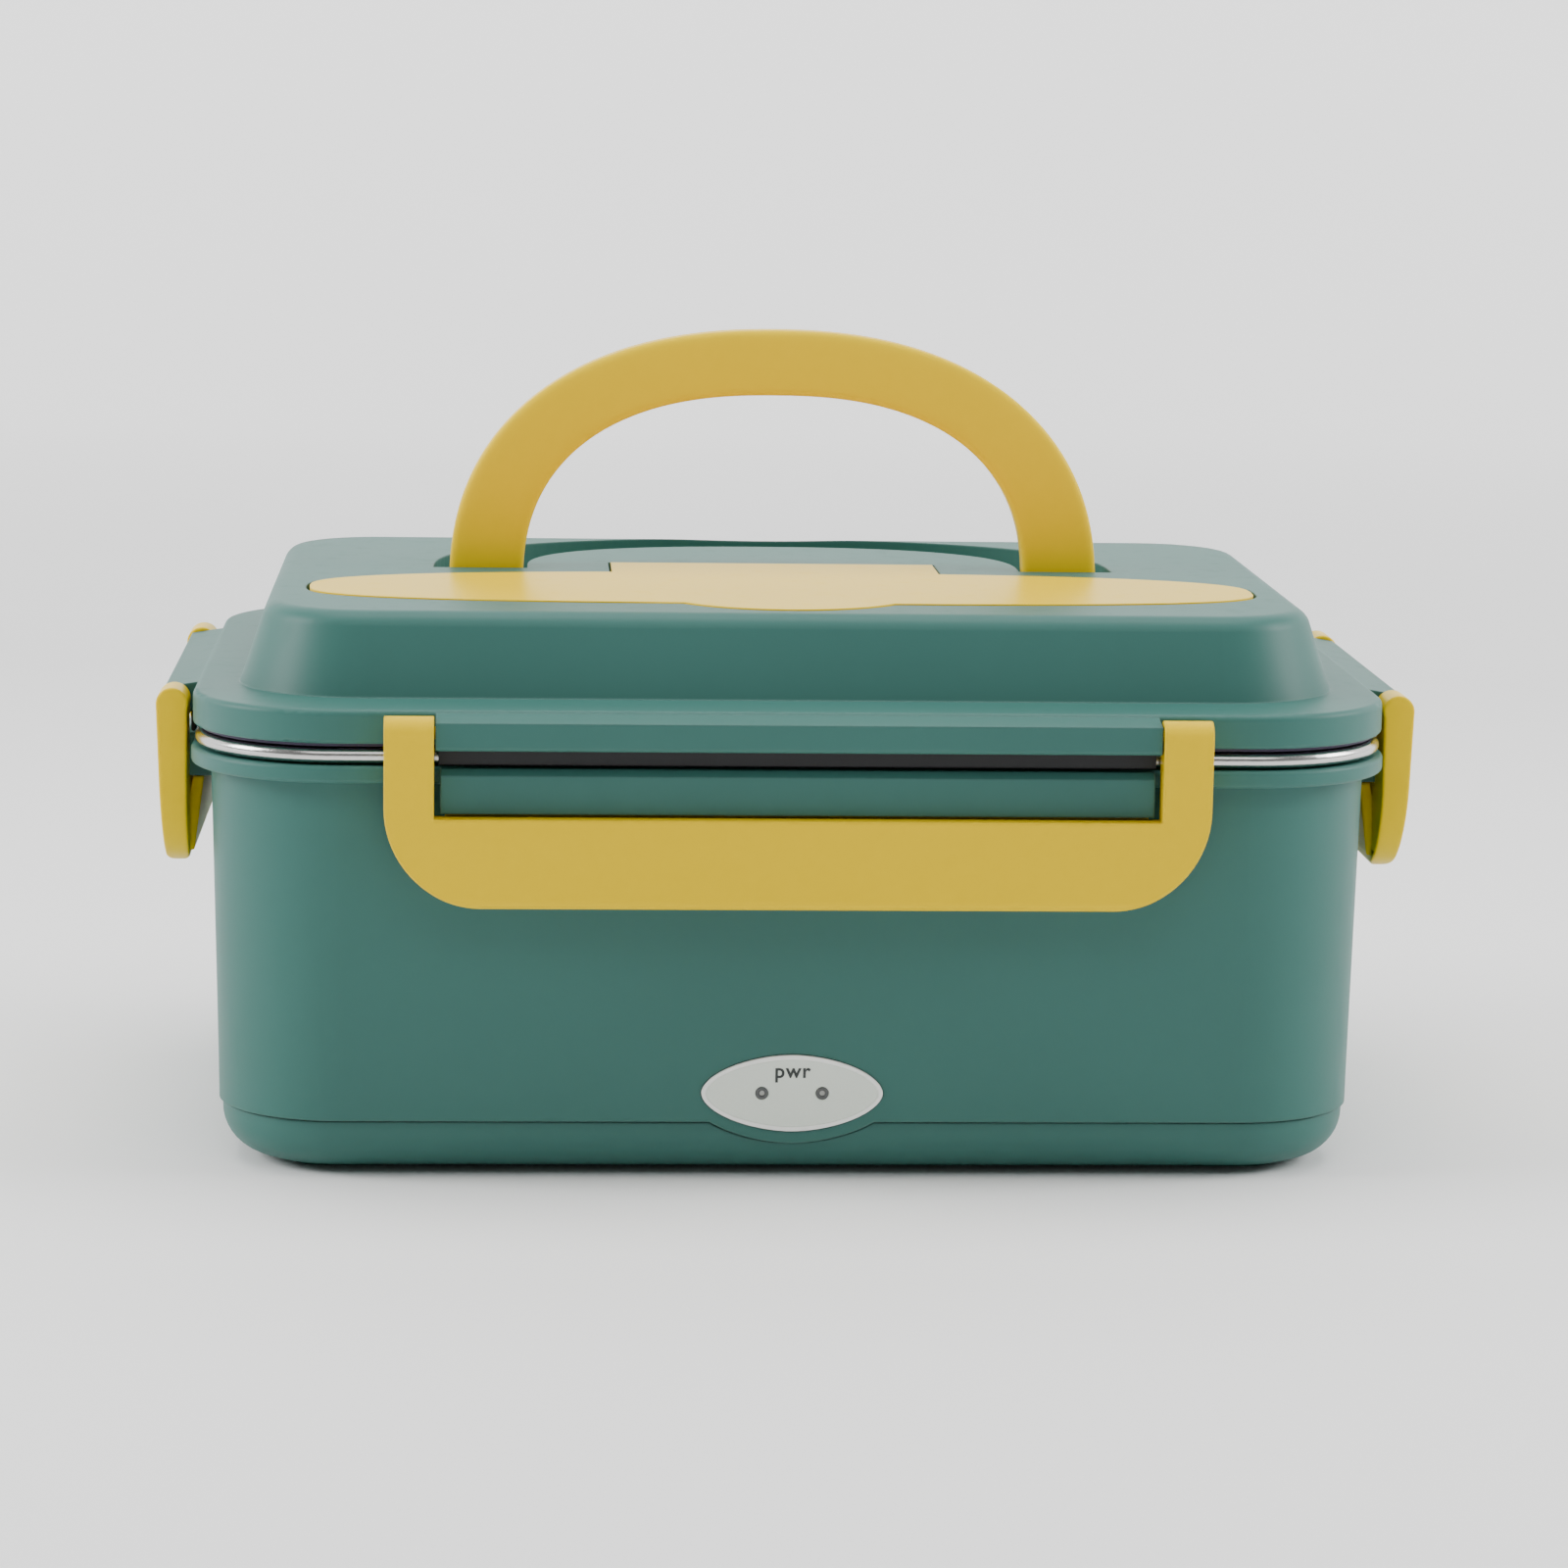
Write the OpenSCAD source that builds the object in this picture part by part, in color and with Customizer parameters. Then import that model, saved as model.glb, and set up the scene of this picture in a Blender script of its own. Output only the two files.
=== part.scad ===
// Electric lunch box: heated base, lift-out steel container, side-dish tray, lift-off lid
// held by four yellow clips, fold-down carrying handle and a cutlery compartment in the lid.
// Millimetres. Origin on the table under the middle of the box, +X right, +Y back, +Z up.
// Most pieces are rounded rectangles about the same corner centres (corner_x, corner_y), so a
// profile is drawn as distance outwards from those centres (u) against height (z) and swept round.

/* [Base] */
// Width over the flange of the base
flange_w = 238; // [224:1:250]
// Depth over the flange of the base
flange_d = 168; // [160:1:176]
// Corner radius of the flange
flange_r = 30; // [29:0.5:34]
// Height of the flange top above the table
flange_top = 83; // [80:0.5:90]
// Thickness of the flange
flange_t = 3.4; // [2.4:0.2:4]
// How far the flange stands out from the side wall
flange_out = 3.9; // [3:0.1:4.5]
// How much the side wall leans in from flange to seam
wall_draft = 1.4; // [0.6:0.1:2]
// Thickness of the outer wall
wall_t = 2.4; // [1.8:0.1:2.6]
// Height of the seam between outer body and base cover
seam_z = 11.7; // [10.8:0.1:13]
// Open seam between outer body and base cover
seam_gap = 0.3; // [0.2:0.1:0.6]
// How far the base cover stands back from the wall above it
seam_step = 0.7; // [0.4:0.1:1.2]
// Radius of the bottom edge of the base cover
bottom_r = 9; // [7:0.5:9.6]
// How far the lip of the base cover reaches up inside the outer body
cover_lip = 1.4; // [0.8:0.1:2]
// Thickness of the base cover
cover_t = 2; // [1.6:0.1:2.6]
// Height of the moulded feet
foot_h = 1; // [0.6:0.1:2]
// Length of a moulded foot
foot_l = 22; // [14:1:26]
// Depth of a moulded foot
foot_d = 16; // [12:1:20]
// Distance of a foot centre from the middle, left to right
foot_x = 88; // [70:1:90]
// Distance of a foot centre from the middle, front to back
foot_y = 58.5; // [44:0.5:60]

/* [Catches and clips] */
// Length of the front and back clips
clip_long = 160; // [140:1:168]
// Length of the side clips
clip_short = 104; // [90:1:112]
// Width of a clip arm
arm_w = 9.6; // [8:0.2:12]
// Thickness of a clip arm
arm_t = 6; // [5:0.2:6.4]
// Height of a clip below its pivot
clip_drop = 34.4; // [31:0.2:38]
// Radius of the lower outer corners of a clip
clip_corner_r = 20; // [12:0.5:24]
// Height of the clip pivot above the lower edge of the lid rim
pivot_up = 2.1; // [1.8:0.1:2.6]
// Distance of the clip pivot outside the lid rim
pivot_out = 4.4; // [4:0.1:5]
// Radius of the moulded pivot stubs of a clip
stub_r = 1.25; // [1:0.05:1.5]
// Length of the moulded pivot stubs
stub_l = 3; // [2:0.1:4]
// Radial running clearance of stubs and pins
run_gap = 0.05; // [0.02:0.01:0.08]
// Thickness of the clip tongue
tongue_t = 2.2; // [1.8:0.1:2.6]
// Height of a catch on the base
catch_h = 8.7; // [7.5:0.1:9.5]
// How far a catch stands out from the flange
catch_out = 3; // [2.4:0.1:3.4]
// Space between the end of a catch and a clip arm
catch_end_gap = 1.2; // [0.8:0.1:2]
// Bevel along the top edge of a catch
catch_bevel = 1.3; // [0.8:0.1:1.6]
// Space between the tongue tip and the underside of a catch
latch_gap = 0.3; // [0.3:0.1:0.6]

/* [Steel container] */
// Sheet thickness of the container
steel_t = 0.8; // [0.6:0.1:1]
// Width of the rim of the container, from its wall to the rolled edge
steel_rim = 8.7; // [8.4:0.1:9.2]
// Radius of the rolled edge
bead_r = 1.5; // [1.2:0.1:1.8]
// Depth of the container below its rim
steel_depth = 58; // [50:1:58]
// Radius of the bottom edge of the container
steel_bottom_r = 10; // [7:0.5:12]
// How much the container wall leans in
steel_draft = 1.5; // [0.8:0.1:2.2]
// Width of the ledge that carries the tray
ledge_w = 2.4; // [2:0.1:3]
// Depth of the ledge below the container rim
ledge_drop = 6.3; // [6:0.1:8]

/* [Side-dish tray] */
// Width of the tray
tray_w = 116; // [90:1:150]
// Depth of the tray below its rim
tray_h = 24; // [16:1:30]
// Wall of the tray
tray_t = 1.4; // [1.1:0.1:1.8]
// Width of the rim of the tray
tray_rim = 4; // [3.6:0.1:5]

/* [Lid] */
// Height of the lid rim
rim_h = 5.8; // [5:0.1:7]
// How far the lid rim stands back from the base flange
rim_in = 0.4; // [0.2:0.1:0.8]
// Radius along the upper edge of the lid rim
rim_r = 1.2; // [0.8:0.1:2.8]
// Thickness of the lip that hangs from the lid rim outside the seal
lip_t = 1.4; // [1:0.1:1.8]
// How far the lip hangs below the lid rim
lip_h = 0.9; // [0.4:0.1:1.2]
// Visible height of the seal band
seal_h = 1.6; // [1.3:0.1:2.2]
// Ledge in front of the dome
ledge_front = 16.1; // [15:0.1:18]
// Ledge beside the dome
ledge_side = 8.6; // [8:0.1:10]
// Ledge behind the dome
ledge_back = 3.1; // [2.4:0.1:3.4]
// Height of the dome above the ledge
dome_h = 16.4; // [15.6:0.1:18]
// How much the dome leans in
dome_lean = 5.5; // [4.6:0.1:6]
// Corner radius at the foot of the dome
dome_r = 25; // [22:0.5:28]
// Radius along the top edge of the dome
dome_edge_r = 4; // [3:0.1:4.4]
// Wall of the lid
lid_t = 2.4; // [2:0.1:2.6]
// Thickness of the inner lid plate
liner_t = 1.6; // [1.2:0.1:1.6]
// Height of the lugs that carry the clips
lug_h = 5.5; // [5.2:0.1:5.8]
// How far a lug stands out from the lid rim
lug_out = 6.4; // [6.3:0.1:6.8]

/* [Cutlery compartment] */
// Half width of the cutlery cover
cutlery_half = 97; // [90:0.5:99]
// Distance from the foot of the dome to the front edge of the cutlery cover
cutlery_front = 22.5; // [20:0.5:26]
// Depth of the front half of the cutlery cover
cutlery_front_d = 25; // [20:0.5:27]
// Thickness of the cutlery cover
cutlery_t = 2.4; // [2:0.1:2.6]
// Gap round the cutlery cover
cutlery_gap = 0.7; // [0.6:0.1:1]
// Width of the ledge under the cutlery cover
cutlery_ledge = 3.7; // [3:0.1:4.5]
// Depth of the compartment below the dome top
cutlery_depth = 13.4; // [11:0.1:13.6]
// Half width of the finger tab
finger_half = 21; // [16:0.5:24]
// How far the finger tab stands out
finger_out = 10.5; // [8:0.1:11]
// Half width of the hinge tab
tab_half = 34.6; // [30:0.1:38]
// How far the hinge tab reaches behind the hinge pin
tab_back = 4.3; // [3.6:0.1:4.6]
// Radius of the hinge knuckles
knuckle_r = 2.3; // [2:0.1:2.4]
// Radius of the steel hinge pin
hinge_pin_r = 1; // [0.8:0.05:1.2]
// Length of the spoon and of the fork
cutlery_l = 144; // [130:1:148]
// Width of the spoon bowl
spoon_w = 24; // [20:1:24]
// Width of the fork head
fork_w = 18; // [14:1:19]

/* [Handle] */
// Half width of the handle at its pivots
handle_half = 69; // [66:0.1:70]
// Width of the band of the handle at its pivots
handle_band = 15.7; // [13:0.1:17]
// Height of the handle above its pivots
handle_rise = 54.6; // [50:0.1:56]
// Width of the band of the handle at the top
handle_top_band = 13.9; // [12:0.1:16]
// Thickness of the handle
handle_t = 7.5; // [6:0.1:8]
// Gap between the folded handle and the ends of its channel
channel_gap = 0.9; // [0.6:0.1:1.2]
// Gap between a handle leg and the outer wall of its channel
channel_side = 3.3; // [2.4:0.1:3.6]
// Distance from the channel to the back foot of the dome
back_lip = 6.5; // [6:0.1:9]
// Radius of the moulded handle pins
handle_pin_r = 2; // [1.6:0.1:2.4]
// Length of a handle pin inside the lid
handle_pin_in = 2.4; // [1.8:0.1:3]

/* [Badge and indicators] */
// Half width of the badge
badge_a = 17.9; // [14:0.1:19]
// Half height of the badge
badge_b = 7.7; // [6:0.1:8]
// Height of the badge centre above the table
badge_z = 17.6; // [17:0.1:19]
// Border of the body round the badge, at its ends
badge_border = 3.2; // [2.4:0.1:4]
// Border of the body above and below the badge
badge_border_v = 2.5; // [2:0.1:3]
// Thickness of the badge
badge_t = 0.8; // [0.6:0.1:1]
// Distance between the two indicator lamps
lamp_pitch = 11.9; // [9:0.1:14]
// Radius of an indicator lamp
lamp_r = 1.2; // [0.9:0.05:1.5]

/* [Heater and mains parts] */
// Length of the heater block
heater_w = 92; // [70:1:104]
// Depth of the heater block
heater_d = 26; // [18:1:34]
// Space for thermostat and fuse at each end of the heater
heater_end = 29; // [27:0.5:34]
// Depth of the heating plate
plate_d = 92; // [76:1:100]
// Thickness of the heating plate
plate_t = 1.5; // [1.2:0.1:2]
// Thickness of the wall and floor of the inner well
well_t = 1.5; // [1.2:0.1:1.6]
// Border by which the heating plate lies on the well floor
plate_border = 6; // [4:0.5:8]
// Width of the two-pin mains inlet
inlet_w = 25; // [22:0.5:28]
// Height of the mains inlet
inlet_h = 12.4; // [11.6:0.1:12.4]
// Distance between the mains pins
pin_pitch = 8.6; // [7.8:0.1:9]
// Radius of a mains pin
mains_pin_r = 1.2; // [1:0.05:1.3]
// Radius of the insulated leads
lead_r = 1.1; // [0.8:0.05:1.2]
// Distance of a cover screw from the middle, left to right
screw_x = 97; // [92:0.5:98]
// Distance of a cover screw from the middle, front to back
screw_y = 40; // [34:0.5:44]
// Radius of the thread of a cover screw
screw_r = 1.5; // [1.3:0.05:1.7]

/* [Hidden] */
$fn = 64;
eps = 0.01;
far = 200;
green = "#3f6b60";
yellow = "#fdd835";
steel = "#c9ccca";
part_gap = 0.3;

corner_x = flange_w/2 - flange_r;
corner_y = flange_d/2 - flange_r;

// Heights from the table up
catch_z = flange_top - catch_h;
bead_z = flange_top + part_gap + bead_r;
steel_top = flange_top + part_gap + 2*bead_r;
seal_z = steel_top + part_gap;
rim_z = seal_z + seal_h;
ledge_z = rim_z + rim_h;
dome_z = ledge_z + dome_h;
steel_z = steel_top - steel_depth;
plate_z = steel_z - part_gap - plate_t;

// Distances outwards from the corner centres
wall_u = flange_r - flange_out;
wall_foot_u = wall_u - wall_draft;
rim_u = flange_r - rim_in;
catch_u = flange_r + catch_out;
pivot_u = rim_u + pivot_out;
bead_u = flange_r - bead_r - 0.8;
steel_u = bead_u - steel_rim;
well_u = steel_u + steel_t + 0.8;
well_lip_u = bead_u - bead_r - 0.6;
seal_in_u = bead_u - 5.3;

// Clips
pivot_z = rim_z + pivot_up;
knuckle_out = arm_t/2 + 0.2;
bar_top = catch_z - 0.6;

// Dome of the lid, set towards the back
dome_x = flange_w/2 - rim_in - ledge_side;
dome_front = -(flange_d/2 - rim_in - ledge_front);
dome_back = flange_d/2 - rim_in - ledge_back;
dome_mid = (dome_front + dome_back)/2;
dome_cx = dome_x - dome_r;
dome_cy = (dome_back - dome_front)/2 - dome_r;
lean_angle = atan(dome_lean/dome_h);

// Handle and its channel
handle_y = dome_back - back_lip - channel_gap - handle_rise;
handle_z = dome_z - handle_t/2 - 0.05;
channel_z = handle_z - handle_t/2 - 0.4;
outer_power = 2.28;
inner_power = 2.42;

// Heating plate
plate_w = heater_w + 2*heater_end;

// Cutlery cover and compartment
cutlery_back = handle_y - 10.5;
cutlery_mid = dome_front + cutlery_front + cutlery_front_d;
cutlery_back_d = cutlery_back - cutlery_mid;
front_power = 3.2;
back_power = 2.5;
cutlery_top = dome_z + 0.2;
cutlery_z = cutlery_top - cutlery_t;
hinge_y = handle_y + 1.5;
hinge_z = cutlery_top - knuckle_r - 0.4;
pocket_z = hinge_z - knuckle_r - 1.1;
compartment_z = dome_z - cutlery_depth;

// Badge
badge_boss_a = badge_a + badge_border;
badge_boss_b = badge_b + badge_border_v;
badge_power = 1.8;
wall_slope = wall_draft/(flange_top - flange_t - seam_z);
badge_wall_y = -(corner_y + wall_foot_u + wall_slope*(badge_z - seam_z));
badge_face_y = badge_wall_y - 0.4;
badge_tilt = atan(wall_slope);

// ---------------------------------------------------------------- helpers

// Sweeps a profile round a rounded rectangle whose corner centres are at (+-x_c, +-y_c)
module sweep(x_c, y_c) {
  for (k = [0:3]) {
    run = (k % 2 == 0) ? 2*y_c : 2*x_c;
    translate([(k == 0 || k == 3) ? x_c : -x_c, (k < 2) ? y_c : -y_c, 0])
      rotate([0, 0, 90*k]) {
        rotate_extrude(angle = 90) children();
        rotate([90, 0, 0]) linear_extrude(run) children();
      }
  }
}

// Fills the middle of a swept solid between two heights
module core(x_c, y_c, z0, z1) {
  translate([-x_c, -y_c, z0]) cube([2*x_c, 2*y_c, z1 - z0]);
}

// Flat plate with the outline at distance u from the corner centres
module plate(u, z0, z1) {
  sweep(corner_x, corner_y) translate([0, z0]) square([u, z1 - z0]);
  core(corner_x, corner_y, z0, z1);
}

// Removes the sharp corner at p that points towards (sx, sy), leaving radius r
module corner_cut(p, r, sx, sy) {
  translate([p[0] - sx*r, p[1] - sy*r])
    difference() {
      translate([sx > 0 ? 0 : -r - 1, sy > 0 ? 0 : -r - 1]) square(r + 1);
      circle(r);
    }
}

// Section of a pan that leans from foot_u up to top_u, with a round bottom edge
module pan_section(foot_u, top_u, z0, z1, r) {
  polygon([[0, z0], [foot_u - r, z0], [foot_u, z0 + r], [top_u, z1], [0, z1]]);
  translate([foot_u - r, z0 + r]) intersection() {
    circle(r);
    translate([0, -r]) square(r);
  }
}

// Rounded rectangle in the plane
module round_rect(w, d, r) {
  square([w - 2*r, d], center = true);
  square([w, d - 2*r], center = true);
  for (sx = [-1, 1])
    for (sy = [-1, 1])
      translate([sx*(w/2 - r), sy*(d/2 - r)]) circle(r);
}

// Extrudes a (u, z) profile along X so that u points to the front
module along_x(length) {
  rotate([90, 0, -90]) linear_extrude(length, center = true) children();
}

// Cylinder from point a to point b
module rod(a, b, r) {
  v = b - a;
  translate(a)
    rotate([0, acos(v[2]/norm(v)), atan2(v[1], v[0])])
      cylinder(h = norm(v), r = r);
}

// Places what is drawn for the front side on one of the four sides
module on_side(side) {
  turn = side == "front" ? 0 : side == "back" ? 180 : side == "left" ? -90 : 90;
  reach = (side == "front" || side == "back") ? corner_y : corner_x;
  rotate([0, 0, turn]) translate([0, -reach, 0]) children();
}

function clip_length(side) = (side == "front" || side == "back") ? clip_long : clip_short;
function signed_power(v, p) = sign(v)*pow(abs(v), p);

// Point at angle t of a squared-off ellipse with half axes a and b
function squircle(a, b, power, t) =
  [a*signed_power(cos(t), 2/power), b*signed_power(sin(t), 2/power)];

// Ellipse in the plane
module ellipse(a, b) {
  polygon([for (t = [0:5:355]) [a*cos(t), b*sin(t)]]);
}

// ---------------------------------------------------------------- base

module wall_section() {
  difference() {
    union() {
      polygon([[0, seam_z], [wall_foot_u, seam_z], [wall_u, flange_top - flange_t],
        [wall_u, flange_top], [0, flange_top]]);
      difference() {
        translate([wall_u - 1, flange_top - flange_t]) square([flange_r - wall_u + 1, flange_t]);
        corner_cut([flange_r, flange_top], 0.8, 1, 1);
        corner_cut([flange_r, flange_top - flange_t], 0.8, 1, -1);
      }
    }
    polygon([[-1, seam_z - 1], [wall_foot_u - wall_t, seam_z - 1], [wall_foot_u - wall_t, seam_z],
      [wall_u - wall_t, flange_top - flange_t], [wall_u - wall_t, flange_top + 1],
      [-1, flange_top + 1]]);
    translate([0, flange_top - well_t - 0.1]) square([well_lip_u + 0.2, flange_t + 1]);
  }
}

module catch_section() {
  polygon([[wall_u - 1, catch_z], [catch_u, catch_z], [catch_u, flange_top - catch_bevel],
    [catch_u - catch_bevel, flange_top], [well_lip_u + 1, flange_top],
    [well_lip_u + 1, flange_top - flange_t], [wall_u - 1, flange_top - flange_t]]);
}

// Oval plate parallel to the front wall, between the depths y0 and y1 at its middle
module badge_oval(a, b, y0, y1) {
  translate([0, badge_wall_y, badge_z]) rotate([badge_tilt, 0, 0])
    translate([0, y1 - badge_wall_y, 0]) rotate([90, 0, 0]) linear_extrude(y1 - y0)
      polygon([for (t = [0:5:355]) squircle(a, b, badge_power, t)]);
}

module outer_body() {
  color(green) difference() {
    union() {
      sweep(corner_x, corner_y) wall_section();
      for (side = ["front", "back", "left", "right"])
        on_side(side)
          along_x(clip_length(side) - 2*(arm_w + catch_end_gap)) catch_section();
      badge_oval(badge_boss_a, badge_boss_b, badge_wall_y, badge_wall_y + wall_t + 0.6);
      for (sx = [-1, 1])
        for (sy = [-1, 1])
          translate([sx*screw_x, sy*screw_y, 0]) rotate([0, 0, sx > 0 ? 0 : 180]) screw_post();
    }
    badge_oval(badge_a + 0.2, badge_b + 0.2, badge_face_y - 1, badge_face_y + badge_t);
    for (s = [-1, 1])
      translate([s*lamp_pitch/2, badge_face_y - 1, badge_z])
        rotate([-90, 0, 0]) cylinder(h = 8, r = lamp_r + 0.1);
    inlet_hole();
  }
}

// Post that takes a cover screw, tied to the side wall by a web
module screw_post() {
  post_r = 4;
  post_z = seam_z + 0.6;
  post_top = plate_z - well_t - 0.2;
  web_z = seam_z - seam_gap + cover_lip + part_gap;
  web_to = wall_foot_u - wall_t + 0.5 + corner_x - screw_x;
  difference() {
    union() {
      translate([0, 0, post_z]) cylinder(h = post_top - post_z, r = post_r);
      translate([0, -0.9, web_z]) cube([web_to, 1.8, post_top - web_z - 0.5]);
    }
    translate([0, 0, post_z - eps]) cylinder(h = 9, r = screw_r - 0.2);
  }
}

module inlet_hole() {
  translate([0, corner_y + wall_foot_u, badge_z])
    cube([inlet_w + 0.4, 12, inlet_h - 2.4], center = true);
}

module inner_well() {
  well_foot = plate_z - well_t;
  hole_w = plate_w - 2*plate_border;
  hole_d = plate_d - 2*plate_border;
  color("#2f4a45") difference() {
    union() {
      sweep(corner_x, corner_y) difference() {
        union() {
          pan_section(well_u + well_t, well_u + well_t, well_foot, flange_top, 4);
          translate([0, flange_top - well_t]) square([well_lip_u, well_t]);
        }
        pan_section(well_u, well_u, plate_z, flange_top + 1, 3);
      }
      core(corner_x, corner_y, well_foot, plate_z);
      for (s = [-1, 1])
        translate([0, s*(hole_d/2 + 7), well_foot - 5]) cylinder(h = 5 + eps, r = 4.5);
    }
    translate([0, 0, well_foot - 1]) linear_extrude(well_t + 2) round_rect(hole_w, hole_d, 8);
    for (s = [-1, 1])
      translate([0, s*(hole_d/2 + 7), well_foot - 6]) cylinder(h = 5.5, r = screw_r - 0.2);
  }
}

module base_cover() {
  cover_u = wall_foot_u - seam_step;
  top_z = seam_z - seam_gap;
  lip_u = wall_foot_u - wall_t - 0.3;
  color(green) difference() {
    union() {
      sweep(corner_x, corner_y) {
        difference() {
          pan_section(cover_u, cover_u, foot_h, top_z, bottom_r);
          pan_section(lip_u - 1.4, lip_u - 1.4, foot_h + cover_t, top_z + 1, bottom_r - 1.8);
        }
        translate([lip_u - 1.4, top_z - 4]) square([1.4, 4 + cover_lip]);
      }
      core(corner_x, corner_y, foot_h, foot_h + cover_t);
      for (sx = [-1, 1])
        for (sy = [-1, 1]) {
          translate([sx*foot_x, sy*foot_y, 0])
            linear_extrude(foot_h + 0.5) round_rect(foot_l, foot_d, 6);
          translate([sx*screw_x, sy*screw_y, foot_h + 0.5])
            cylinder(h = seam_z + 0.3 - foot_h - 0.5, r = 4.4);
        }
    }
    for (sx = [-1, 1])
      for (sy = [-1, 1])
        translate([sx*screw_x, sy*screw_y, 0]) {
          translate([0, 0, -1]) cylinder(h = far, r = screw_r + 0.2);
          translate([0, 0, -1]) cylinder(h = 7.2, r = 3.1);
        }
    badge_oval(badge_boss_a + seam_gap, badge_boss_b + seam_gap,
      badge_face_y - 5, badge_wall_y + wall_t + 1.4);
    translate([0, corner_y + wall_foot_u - 8, badge_z])
      cube([inlet_w + 8, 12, inlet_h + 1], center = true);
  }
}

module cover_screws() {
  color(steel)
    for (sx = [-1, 1])
      for (sy = [-1, 1])
        translate([sx*screw_x, sy*screw_y, 0]) {
          difference() {
            translate([0, 0, 4.2]) cylinder(h = 2, r = 2.7);
            translate([0, 0, 4.5]) cube([3.4, 0.7, 1.4], center = true);
            translate([0, 0, 4.5]) cube([0.7, 3.4, 1.4], center = true);
          }
          translate([0, 0, 6.1]) cylinder(h = seam_z + 8 - 6.1, r = screw_r - 0.2);
        }
}

// ---------------------------------------------------------------- heater

module heating_plate() {
  color("#b9bcbb") translate([0, 0, plate_z]) linear_extrude(plate_t) round_rect(plate_w, plate_d, 12);
}

heater_h = 3.6;
sheet_t = 0.5;
clamp_t = 1.2;
heater_z = plate_z - heater_h;
sheet_z = heater_z - sheet_t;
clamp_z = sheet_z - clamp_t;
stat_x = heater_w/2 + heater_end/2;
fuse_x = -heater_w/2 - heater_end/2;

module ptc_heater() {
  color("#d7d8d4") translate([0, 0, heater_z]) {
    translate([-heater_w/2, -heater_d/2, 0]) cube([heater_w, heater_d, heater_h]);
    for (s = [-1, 1])
      translate([s > 0 ? heater_w/2 : -heater_w/2 - 5, -2.5, 1.4]) cube([5, 5, 0.8]);
  }
}

module insulation_sheet() {
  color("#d9cfae") translate([-heater_w/2 - 1, -heater_d/2 - 1, sheet_z])
    cube([heater_w + 2, heater_d + 2, sheet_t]);
}

// Spring-steel strap, cranked up at both ends to the bosses of the well floor
module heater_clamp() {
  boss_y = plate_d/2 - plate_border + 7;
  boss_z = plate_z - well_t - 5;
  color(steel) difference() {
    translate([0, 0, 0]) rotate([90, 0, 90]) linear_extrude(18, center = true)
      polygon([[-boss_y - 5, boss_z - clamp_t], [-heater_d/2 - 5, boss_z - clamp_t],
        [-heater_d/2 - 2, clamp_z], [heater_d/2 + 2, clamp_z],
        [heater_d/2 + 5, boss_z - clamp_t], [boss_y + 5, boss_z - clamp_t],
        [boss_y + 5, boss_z], [heater_d/2 + 4, boss_z],
        [heater_d/2 + 1.4, sheet_z], [-heater_d/2 - 1.4, sheet_z],
        [-heater_d/2 - 4, boss_z], [-boss_y - 5, boss_z]]);
    for (s = [-1, 1])
      translate([0, s*boss_y, boss_z - 3]) cylinder(h = 6, r = screw_r + 0.2);
  }
}

module heater_screws() {
  boss_y = plate_d/2 - plate_border + 7;
  boss_z = plate_z - well_t - 5;
  color(steel)
    for (s = [-1, 1])
      translate([0, s*boss_y, boss_z - clamp_t]) {
        translate([0, 0, -1.8]) cylinder(h = 1.8, r = 2.8);
        cylinder(h = 5, r = screw_r - 0.2);
      }
}

module thermostat() {
  color("#c8b48a") translate([stat_x, 0, plate_z - 4]) {
    cylinder(h = 4, r = 8);
    translate([-4, -12, 3.2]) cube([8, 24, 0.8]);
    translate([0, 0, -4]) cylinder(h = 4 + eps, r = 6.5);
    for (s = [-1, 1])
      translate([-3.1, s*7.5 - 0.4, -3]) cube([6.2, 0.8, 3 + eps]);
  }
}

fuse_end = 15;

module thermal_fuse() {
  color("#e8e4da") translate([fuse_x, 0, plate_z - 2.2]) {
    rotate([90, 0, 0]) cylinder(h = 14, r = 2.2, center = true);
    rotate([90, 0, 0]) cylinder(h = 2*fuse_end, r = 0.6, center = true);
  }
}

// ---------------------------------------------------------------- mains parts

inlet_y = corner_y + wall_foot_u + wall_slope*(badge_z + inlet_h/2 - seam_z) + 0.05;
tab_len = 5;

module inlet_outline(grow) {
  for (s = [-1, 1])
    translate([s*pin_pitch/2, 0]) circle(pin_pitch/2 + grow);
  square([pin_pitch, 2*(pin_pitch/2 + grow) - 1.6], center = true);
}

module power_inlet() {
  body_h = inlet_h - 2.8;
  color("#1d1f20") translate([0, inlet_y, badge_z]) difference() {
    union() {
      translate([0, 1.2, 0]) rotate([90, 0, 0]) linear_extrude(1.2)
        round_rect(inlet_w + 4, inlet_h, 3);
      translate([-inlet_w/2, -15, -body_h/2]) cube([inlet_w, 15, body_h]);
    }
    translate([0, 2, 0]) rotate([90, 0, 0]) linear_extrude(12.5) inlet_outline(0.15);
  }
}

module inlet_pins() {
  color("#d9b35a")
    for (s = [-1, 1])
      translate([s*pin_pitch/2, inlet_y, badge_z]) {
        translate([0, -1.5, 0]) rotate([90, 0, 0]) cylinder(h = 9, r = mains_pin_r);
        translate([-1.6, -15 - tab_len, -0.4]) cube([3.2, tab_len, 0.8]);
      }
}

// ---------------------------------------------------------------- indicators

board_y = badge_wall_y + wall_t + 1.2;

module badge() {
  color("#c6cdc6") difference() {
    badge_oval(badge_a, badge_b, badge_face_y, badge_face_y + badge_t);
    badge_oval(badge_a - 0.9, badge_b - 0.9, badge_face_y - 1, badge_face_y + 0.15);
    for (s = [-1, 1])
      translate([s*lamp_pitch/2, badge_face_y - 1, badge_z])
        rotate([-90, 0, 0]) cylinder(h = 4, r = lamp_r + 0.1);
  }
}

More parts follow.
